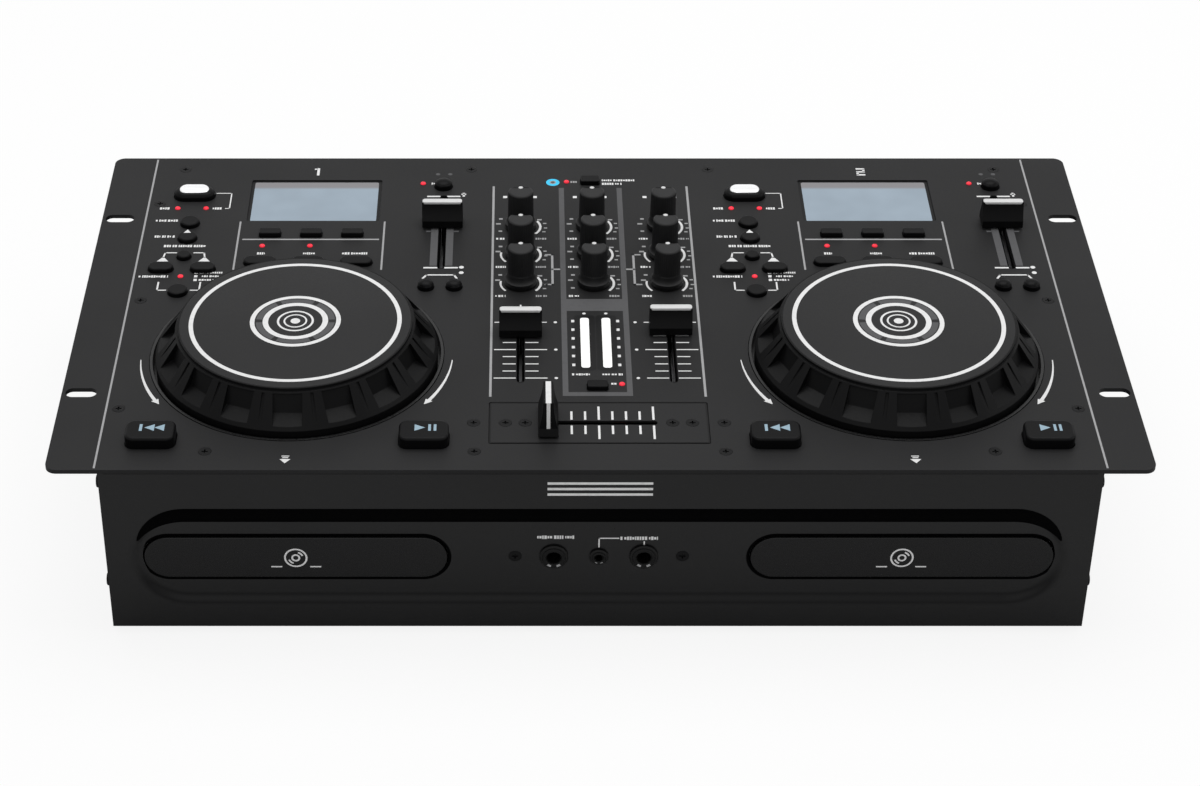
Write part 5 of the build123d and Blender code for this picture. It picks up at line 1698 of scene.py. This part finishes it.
@dataclass
class FrontFace:
    """Marks and painted shade on the front panel and on the tray doors.

    Attributes:
        floor_y: y of the recess's floor.
        stripes: first y, pitch and number of the plain stripes over the sockets.
        stripe: length and width of a stripe.
        captions: first x, last x and y of each caption over the sockets.
        caption_lines: the lines that tie sockets and captions together.
        gap_shade_edges: reach and drop of the outer and of the inner edge of the painted shade in the
            gap round a door.
        strip: length and width of the painted shadow under the panel's lip.
        end_x: how far the fine lines at the panel's ends are from its middle.
        end_ends: y of those lines' ends.
        door_back: how far a door's face stands before the recess's floor.
        disc_rings: outer radius, inner radius and steps of the disc sign's rings.
        disc_arcs: outer and inner radius, first degrees and length of the arcs between them.
        disc_lines: first and last x of the line at the sign's right, and how far it is below.
    """

    floor_y: float = FRONT_FACE + RECESS_DEPTH
    stripes: tuple[float, float, int] = (-8.0, 3.0, 3)
    stripe: Pair = (46.0, 1.3)
    captions: tuple[Triple, ...] = ((-27.4, -11.0, -39.6), (9.4, 26.0, -40.2))
    caption_lines: tuple[tuple[Pair, ...], ...] = (
        ((0.0, -45.0), (0.0, -40.2), (8.6, -40.2)), ((20.0, -42.2), (20.0, -44.2)))
    gap_shade_edges: tuple[Pair, Pair] = ((1.8, 0.25), (0.7, 0.0))
    strip: Pair = (432.0, 0.8)
    end_x: float = 219.8
    end_ends: Pair = (1.8, 264.0)
    door_back: float = 1.2
    disc_rings: tuple[tuple[float, float, int], ...] = ((5.2, 4.4, 48), (2.0, 1.2, 32))
    disc_arcs: tuple[float, float, Pair, float] = (3.6, 2.8, (20, 200), 50)
    disc_lines: Triple = (6.6, 10.8, 5.0)

    def build(self) -> None:
        """Makes the front's pieces."""
        face = Print("front_stripes", Place.front(), Palette.white_ink)
        first, pitch, count = self.stripes
        for k in range(count):
            face.bar(0, first - pitch * k, *self.stripe)
        face.done()
        floor = Print("front_captions", Place.front(0.0, self.floor_y - INK_LIFT), Palette.white_ink)
        for start, end, y in self.captions:
            floor.dashes(start, end, y, 1.9)
        for points in self.caption_lines:
            floor.line(points, 0.6)
        floor.done()
        self.dark_edges()
        RecessShade().build()
        self.end_lines()
        FrontJacks(self.floor_y).build()
        for side in Side:
            self.door_mark(side)

    def dark_edges(self) -> None:
        """Painted shade in the gaps round the tray doors, and a painted shadow under the panel's lip."""
        # Painted shade in the gap round each door, a little wider below the door.
        gap_shade = Print("door_gap_shade", Place.front(0.0, self.floor_y - INK_LIFT), Palette.felt)
        for side in Side:
            rims = [rounded(side.door_x, -DOOR_DROP - drop, DOOR_WIDTH + 2 * reach,
                            DOOR_HEIGHT + 2 * reach, DOOR_HEIGHT / 2 + reach - 0.01, 24)
                    for reach, drop in self.gap_shade_edges]
            gap_shade.ribbon(*rims, True)
        gap_shade.done()
        # Painted shadow under the panel's lip.
        strip = Print("front_top_strip", Place.front(), Palette.felt)
        strip.bar(0, PANEL_UNDERSIDE - 0.5, *self.strip)
        strip.done()

    def end_lines(self) -> None:
        """Fine lines along the panel's two ends."""
        ends = Print("panel_end_lines", Place.top(), Palette.pale_ink_and_glint)
        for sign in (-1, 1):
            ends.line([(sign * self.end_x, y) for y in self.end_ends], 0.9)
        ends.done()

    def door_mark(self, side: Side) -> None:
        """A plain disc sign on a tray door.

        Args:
            side: the door's deck.
        """
        mark = Print(f"door_mark_{side.word}",
                     Place.front(side.door_x, self.floor_y - self.door_back - INK_LIFT),
                     Palette.white_ink, f"disc_tray_{side.word}")
        y = -DOOR_DROP
        for outer, inner, steps in self.disc_rings:
            mark.ring(0, y, outer, inner, steps=steps)
        outer, inner, starts, length = self.disc_arcs
        for start in starts:
            mark.ring(0, y, outer, inner, start, start + length, 10)
        near, far, below = self.disc_lines
        mark.line([(-far, y - below), (-near, y - below)], 0.7)
        mark.line([(near, y - below), (far, y - below)], 0.7)
        mark.done()


@dataclass
class RecessShade:
    """Painted shade: a dark film over the recess's upper slope that tapers round both of its ends.

    Attributes:
        lift: how far the film lies before the slope.
        over: how far its middle is above the slope's.
        reach: half its width.
        turn: degrees it goes round each end.
        fade: degrees at which its width would be nothing.
        step: degrees between its points.
        rows: faces across its width.
    """

    lift: float = 0.14
    over: float = 0.8
    reach: float = 4.5
    turn: int = 65
    fade: float = 68.0
    step: int = 5
    rows: int = 12

    def slope_depth(self, radius: float) -> float:
        """Depth of the recess where two arcs make its slope.

        Args:
            radius: distance from the recess's middle line.
        Returns:
            The depth below the front face.
        """
        arc = (RECESS_SLOPE ** 2 + RECESS_DEPTH ** 2) / (4 * RECESS_DEPTH)
        inward = min(max(RECESS_RADIUS - radius, 0.0), RECESS_SLOPE)
        if inward < RECESS_SLOPE / 2:
            return arc - math.sqrt(arc ** 2 - inward ** 2)
        return RECESS_DEPTH - arc + math.sqrt(arc ** 2 - (RECESS_SLOPE - inward) ** 2)

    def build(self) -> None:
        """Makes the film of painted shade."""
        film = Print("recess_shade", Place.front(0.0, FRONT_FACE - self.lift), Palette.felt)
        middle = RECESS_RADIUS - RECESS_SLOPE / 2 + self.over
        turns = range(0, self.turn + 1, self.step)
        places = [(-1, turn) for turn in reversed(turns)] + [(1, turn) for turn in turns]
        lines = []
        for row in range(self.rows + 1):
            line = []
            for sign, degrees in places:
                angle = math.radians(degrees)
                half = self.reach * (1 - (degrees / self.fade) ** 2)
                radius = middle + half * (2 * row / self.rows - 1)
                line.append((sign * (RECESS_END + radius * math.sin(angle)),
                             radius * math.cos(angle) - DOOR_DROP, -self.slope_depth(radius)))
            lines.append(line)
        for outer, inner in zip(lines, lines[1:]):
            film.ribbon(outer, inner, False)
        film.done()


@dataclass
class FrontJacks:
    """Collars of the three front sockets, with painted glints on them.

    Attributes:
        floor_y: y of the recess's floor.
        collars: name, x, inner radius and outer radius of each collar.
        stand: how far a collar's foot stands before the floor.
        glint_stand: how far the glints lie before it.
        glints: degrees at which the two glints of a collar start.
        glint_length: degrees that a glint goes round.
    """

    floor_y: float
    collars: tuple[tuple[str, float, float, float], ...] = (
        ("left", -20.0, 3.35, 5.2), ("middle", 0.0, 1.95, 3.1), ("right", 20.0, 3.35, 5.2))
    stand: float = 1.4
    glint_stand: float = 2.0
    glints: Pair = (229, 287)
    glint_length: float = 24

    def build(self) -> None:
        """Makes the collars and their glints."""
        # The glints are painted highlights in pale grey ink.
        shine = Print("jack_glints", Place.front(0.0, self.floor_y - self.glint_stand - INK_LIFT),
                      Palette.pale_ink_and_glint)
        for name, x, inner, outer in self.collars:
            for start in self.glints:
                shine.ring(x, -DOOR_DROP, outer - 0.4, inner + 0.4, start, start + self.glint_length, 6)
            collar = Solid(f"jack_collar_{name}", Place.front(x, self.floor_y - self.stand),
                           Palette.collar, "case")
            collar.loop(0, -DOOR_DROP, ((outer, -0.6), (outer, 0.25), (outer - 0.35, 0.6),
                                        (inner + 0.4, 0.6), (inner, 0.2), (inner, -0.6)), 40)
            collar.done(40)
        shine.done()


@dataclass
class RearFace:
    """Socket rings, sleeves and captions on the rear.

    Attributes:
        columns: x of each column of sockets.
        rows: height of each row above the case's foot, the red one first.
        ring: radius and height of each step round a coloured ring's section.
        ring_stand: how far the ring's foot stands behind the rear.
        sleeve: radius and height of each step of a metal sleeve.
        sleeve_stand: how far the sleeve's foot stands behind the rear.
        caption_z: height of the sockets' captions.
        line_z: height of the lines over them.
        side_captions: first x, last x and height of the captions of the inlet and the switch.
    """

    columns: tuple[float, ...] = (-156.0, -128.0, -100.0, -72.0)
    rows: Pair = (34.0, 56.0)
    ring: tuple[Pair, ...] = ((4.2, 0.0), (5.5, 0.0), (5.5, 0.5), (5.2, 0.8), (4.5, 0.8), (4.2, 0.5))
    ring_stand: float = 1.0
    sleeve: tuple[Pair, ...] = ((4.2, 0.0), (4.25, 0.3), (4.25, 4.9), (4.0, 5.2), (3.4, 5.2),
                                (3.2, 4.9))
    sleeve_stand: float = 1.8
    caption_z: float = 66.0
    line_z: float = 70.2
    side_captions: tuple[Triple, ...] = ((-178.0, -158.0, 62.0), (-138.0, -126.0, 62.0))

    def build(self) -> None:
        """Makes the rear's pieces."""
        captions = Print("rear_captions", Place.rear(), Palette.white_ink)
        for x in self.columns:
            for level, (z, finish) in enumerate(zip(self.rows, (Palette.red_ring, Palette.white_ring))):
                self.socket(f"{abs(round(x))}_{level}", x, z, finish)
            captions.dashes(-x - 6.0, -x + 6.0, self.caption_z, 1.4)
            captions.line([(-x - 9.0, self.line_z), (-x + 9.0, self.line_z)], 0.5)
        for start, end, z in self.side_captions:
            captions.dashes(start, end, z, 1.4)
        captions.done()

    def socket(self, name: str, x: float, z: float, finish: Finish) -> None:
        """Makes the coloured ring and the metal sleeve of one socket.

        Args:
            name: its column and row.
            x: its place across.
            z: its height.
            finish: the ring's finish.
        """
        ring = Solid(f"socket_ring_{name}", Place.rear(x, REAR_FACE + self.ring_stand), finish, "case")
        ring.loop(0, z, self.ring, 36)
        ring.done(40)
        sleeve = Solid(f"socket_core_{name}", Place.rear(x, REAR_FACE + self.sleeve_stand),
                       Palette.nickel, "case")
        sleeve.layers([sleeve.level(0, z, radius, height, 36) for radius, height in self.sleeve],
                      False)
        sleeve.done(40)


@dataclass
class Studio:
    """Camera, lamps, floor and world.

    Attributes:
        lens: the camera's focal length in millimetres.
        pitch: degrees that it is tilted up from straight down.
        shift: how far its picture is shifted, as a share of its width.
        stand: where it stands, in metres.
        lamps: name, place, width, depth and power of each lamp.
        aim: the point that every lamp faces.
        room: strength of the world's light, and its strength where it is seen.
        floor_grey: the floor's colour.
        floor_glow: strength of the floor's own light where the camera sees it.
        glow_share: share of that light there.
    """

    lens: float = 84.05
    pitch: float = 54.813
    shift: float = 0.064
    stand: Triple = (-0.0336, -1.10535, 0.8191)
    lamps: tuple[tuple[str, Triple, float, float, float], ...] = (
        ("top_light", (0.0, 0.28, 1.5), 1.6, 1.1, 17.0),
        ("front_light", (-0.3, -1.7, 0.9), 1.4, 0.8, 2.2),
        ("side_light", (1.5, -0.2, 0.8), 1.0, 0.7, 3.0))
    aim: Triple = (0.0, 0.0, 0.05)
    room: Pair = (0.42, 1.0)
    floor_grey: float = 0.75
    floor_glow: float = 1.03
    glow_share: float = 0.85

    def build(self) -> None:
        """Sets the whole studio up."""
        self.camera()
        self.world()
        self.floor()
        for lamp in self.lamps:
            self.lamp(*lamp)

    def camera(self) -> None:
        """Places the camera at the photograph's own viewpoint."""
        data = bpy.data.cameras.new("studio_camera")
        data.sensor_width = 36.0
        data.lens = self.lens
        data.shift_x = self.shift
        camera = bpy.data.objects.new("studio_camera", data)
        camera.location = self.stand
        camera.rotation_euler = (math.radians(self.pitch), 0, 0)
        bpy.context.scene.collection.objects.link(camera)
        bpy.context.scene.camera = camera

    def lamp(self, name: str, spot: Triple, width: float, depth: float, power: float) -> None:
        """A soft rectangular lamp.

        Args:
            name: the lamp's name.
            spot: where it stands.
            width: its width in metres.
            depth: its other side in metres.
            power: its power in watts.
        """
        data = bpy.data.lights.new(name, "AREA")
        data.shape = "RECTANGLE"
        data.size, data.size_y, data.energy = width, depth, power
        lamp = bpy.data.objects.new(name, data)
        lamp.location = spot
        lamp.rotation_euler = (Vector(self.aim) - Vector(spot)).to_track_quat("-Z", "Y").to_euler()
        bpy.context.scene.collection.objects.link(lamp)

    def world(self) -> None:
        """A soft grey room that shows white behind the player and in its reflections."""
        world = bpy.data.worlds.new("studio_world")
        bpy.context.scene.world = world
        world.use_nodes = True
        tree = world.node_tree
        back = tree.nodes["Background"]
        path = tree.nodes.new("ShaderNodeLightPath")
        seen, also = (tree.nodes.new("ShaderNodeMath") for _ in range(2))
        seen.operation = also.operation = "MAXIMUM"
        level = tree.nodes.new("ShaderNodeMapRange")
        level.inputs["To Min"].default_value, level.inputs["To Max"].default_value = self.room
        tree.links.new(path.outputs["Is Camera Ray"], seen.inputs[0])
        tree.links.new(path.outputs["Is Glossy Ray"], seen.inputs[1])
        tree.links.new(seen.outputs[0], also.inputs[0])
        tree.links.new(path.outputs["Is Transmission Ray"], also.inputs[1])
        tree.links.new(also.outputs[0], level.inputs["Value"])
        tree.links.new(level.outputs["Result"], back.inputs["Strength"])
        back.inputs["Color"].default_value = (1, 1, 1, 1)

    def floor(self) -> None:
        """A wide pale floor that keeps a light shadow."""
        work = bmesh.new()
        bmesh.ops.create_grid(work, x_segments=8, y_segments=8, size=12.0)
        mesh = bpy.data.meshes.new("studio_floor")
        work.to_mesh(mesh)
        work.free()
        mesh.materials.append(self.floor_material())
        floor = bpy.data.objects.new("studio_floor", mesh)
        bpy.context.scene.collection.objects.link(floor)

    def floor_material(self) -> bpy.types.Material:
        """The floor's matt surface, which shows nearly white to the camera.

        Returns:
            The material.
        """
        wiring = Wiring("pale_floor")
        surface = wiring.surface.inputs
        surface["Base Color"].default_value = (*(self.floor_grey,) * 3, 1)
        surface["Roughness"].default_value = 0.9
        surface["Specular IOR Level"].default_value = 0.1
        glow = wiring.node("Emission")
        glow.inputs["Strength"].default_value = self.floor_glow
        path = wiring.node("LightPath")
        share = wiring.node("Math", {"operation": "MULTIPLY"})
        share.inputs[1].default_value = self.glow_share
        wiring.link(path.outputs["Is Camera Ray"], share.inputs[0])
        mix = wiring.node("MixShader")
        wiring.link(share.outputs[0], mix.inputs[0])
        wiring.link(wiring.surface.outputs[0], mix.inputs[1])
        wiring.link(glow.outputs[0], mix.inputs[2])
        wiring.link(mix.outputs[0], wiring.tree.nodes["Material Output"].inputs["Surface"])
        return wiring.material


def main() -> None:
    """Builds every sub-assembly around the frame."""
    logging.basicConfig(level=logging.INFO, format="%(message)s")
    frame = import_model()
    bpy.context.scene.view_settings.view_transform = "Standard"
    decks = [part(side) for side in Side for part in (JogTop, Deck)]
    for part in (Studio(), Castings(frame["nodes"]), *decks, Knobs(), Mixer(), FaderCaps(), FrontFace(),
                 RearFace()):
        part.build()
        LOG.info("%s done", type(part).__name__)


if __name__ == "__main__":
    main()
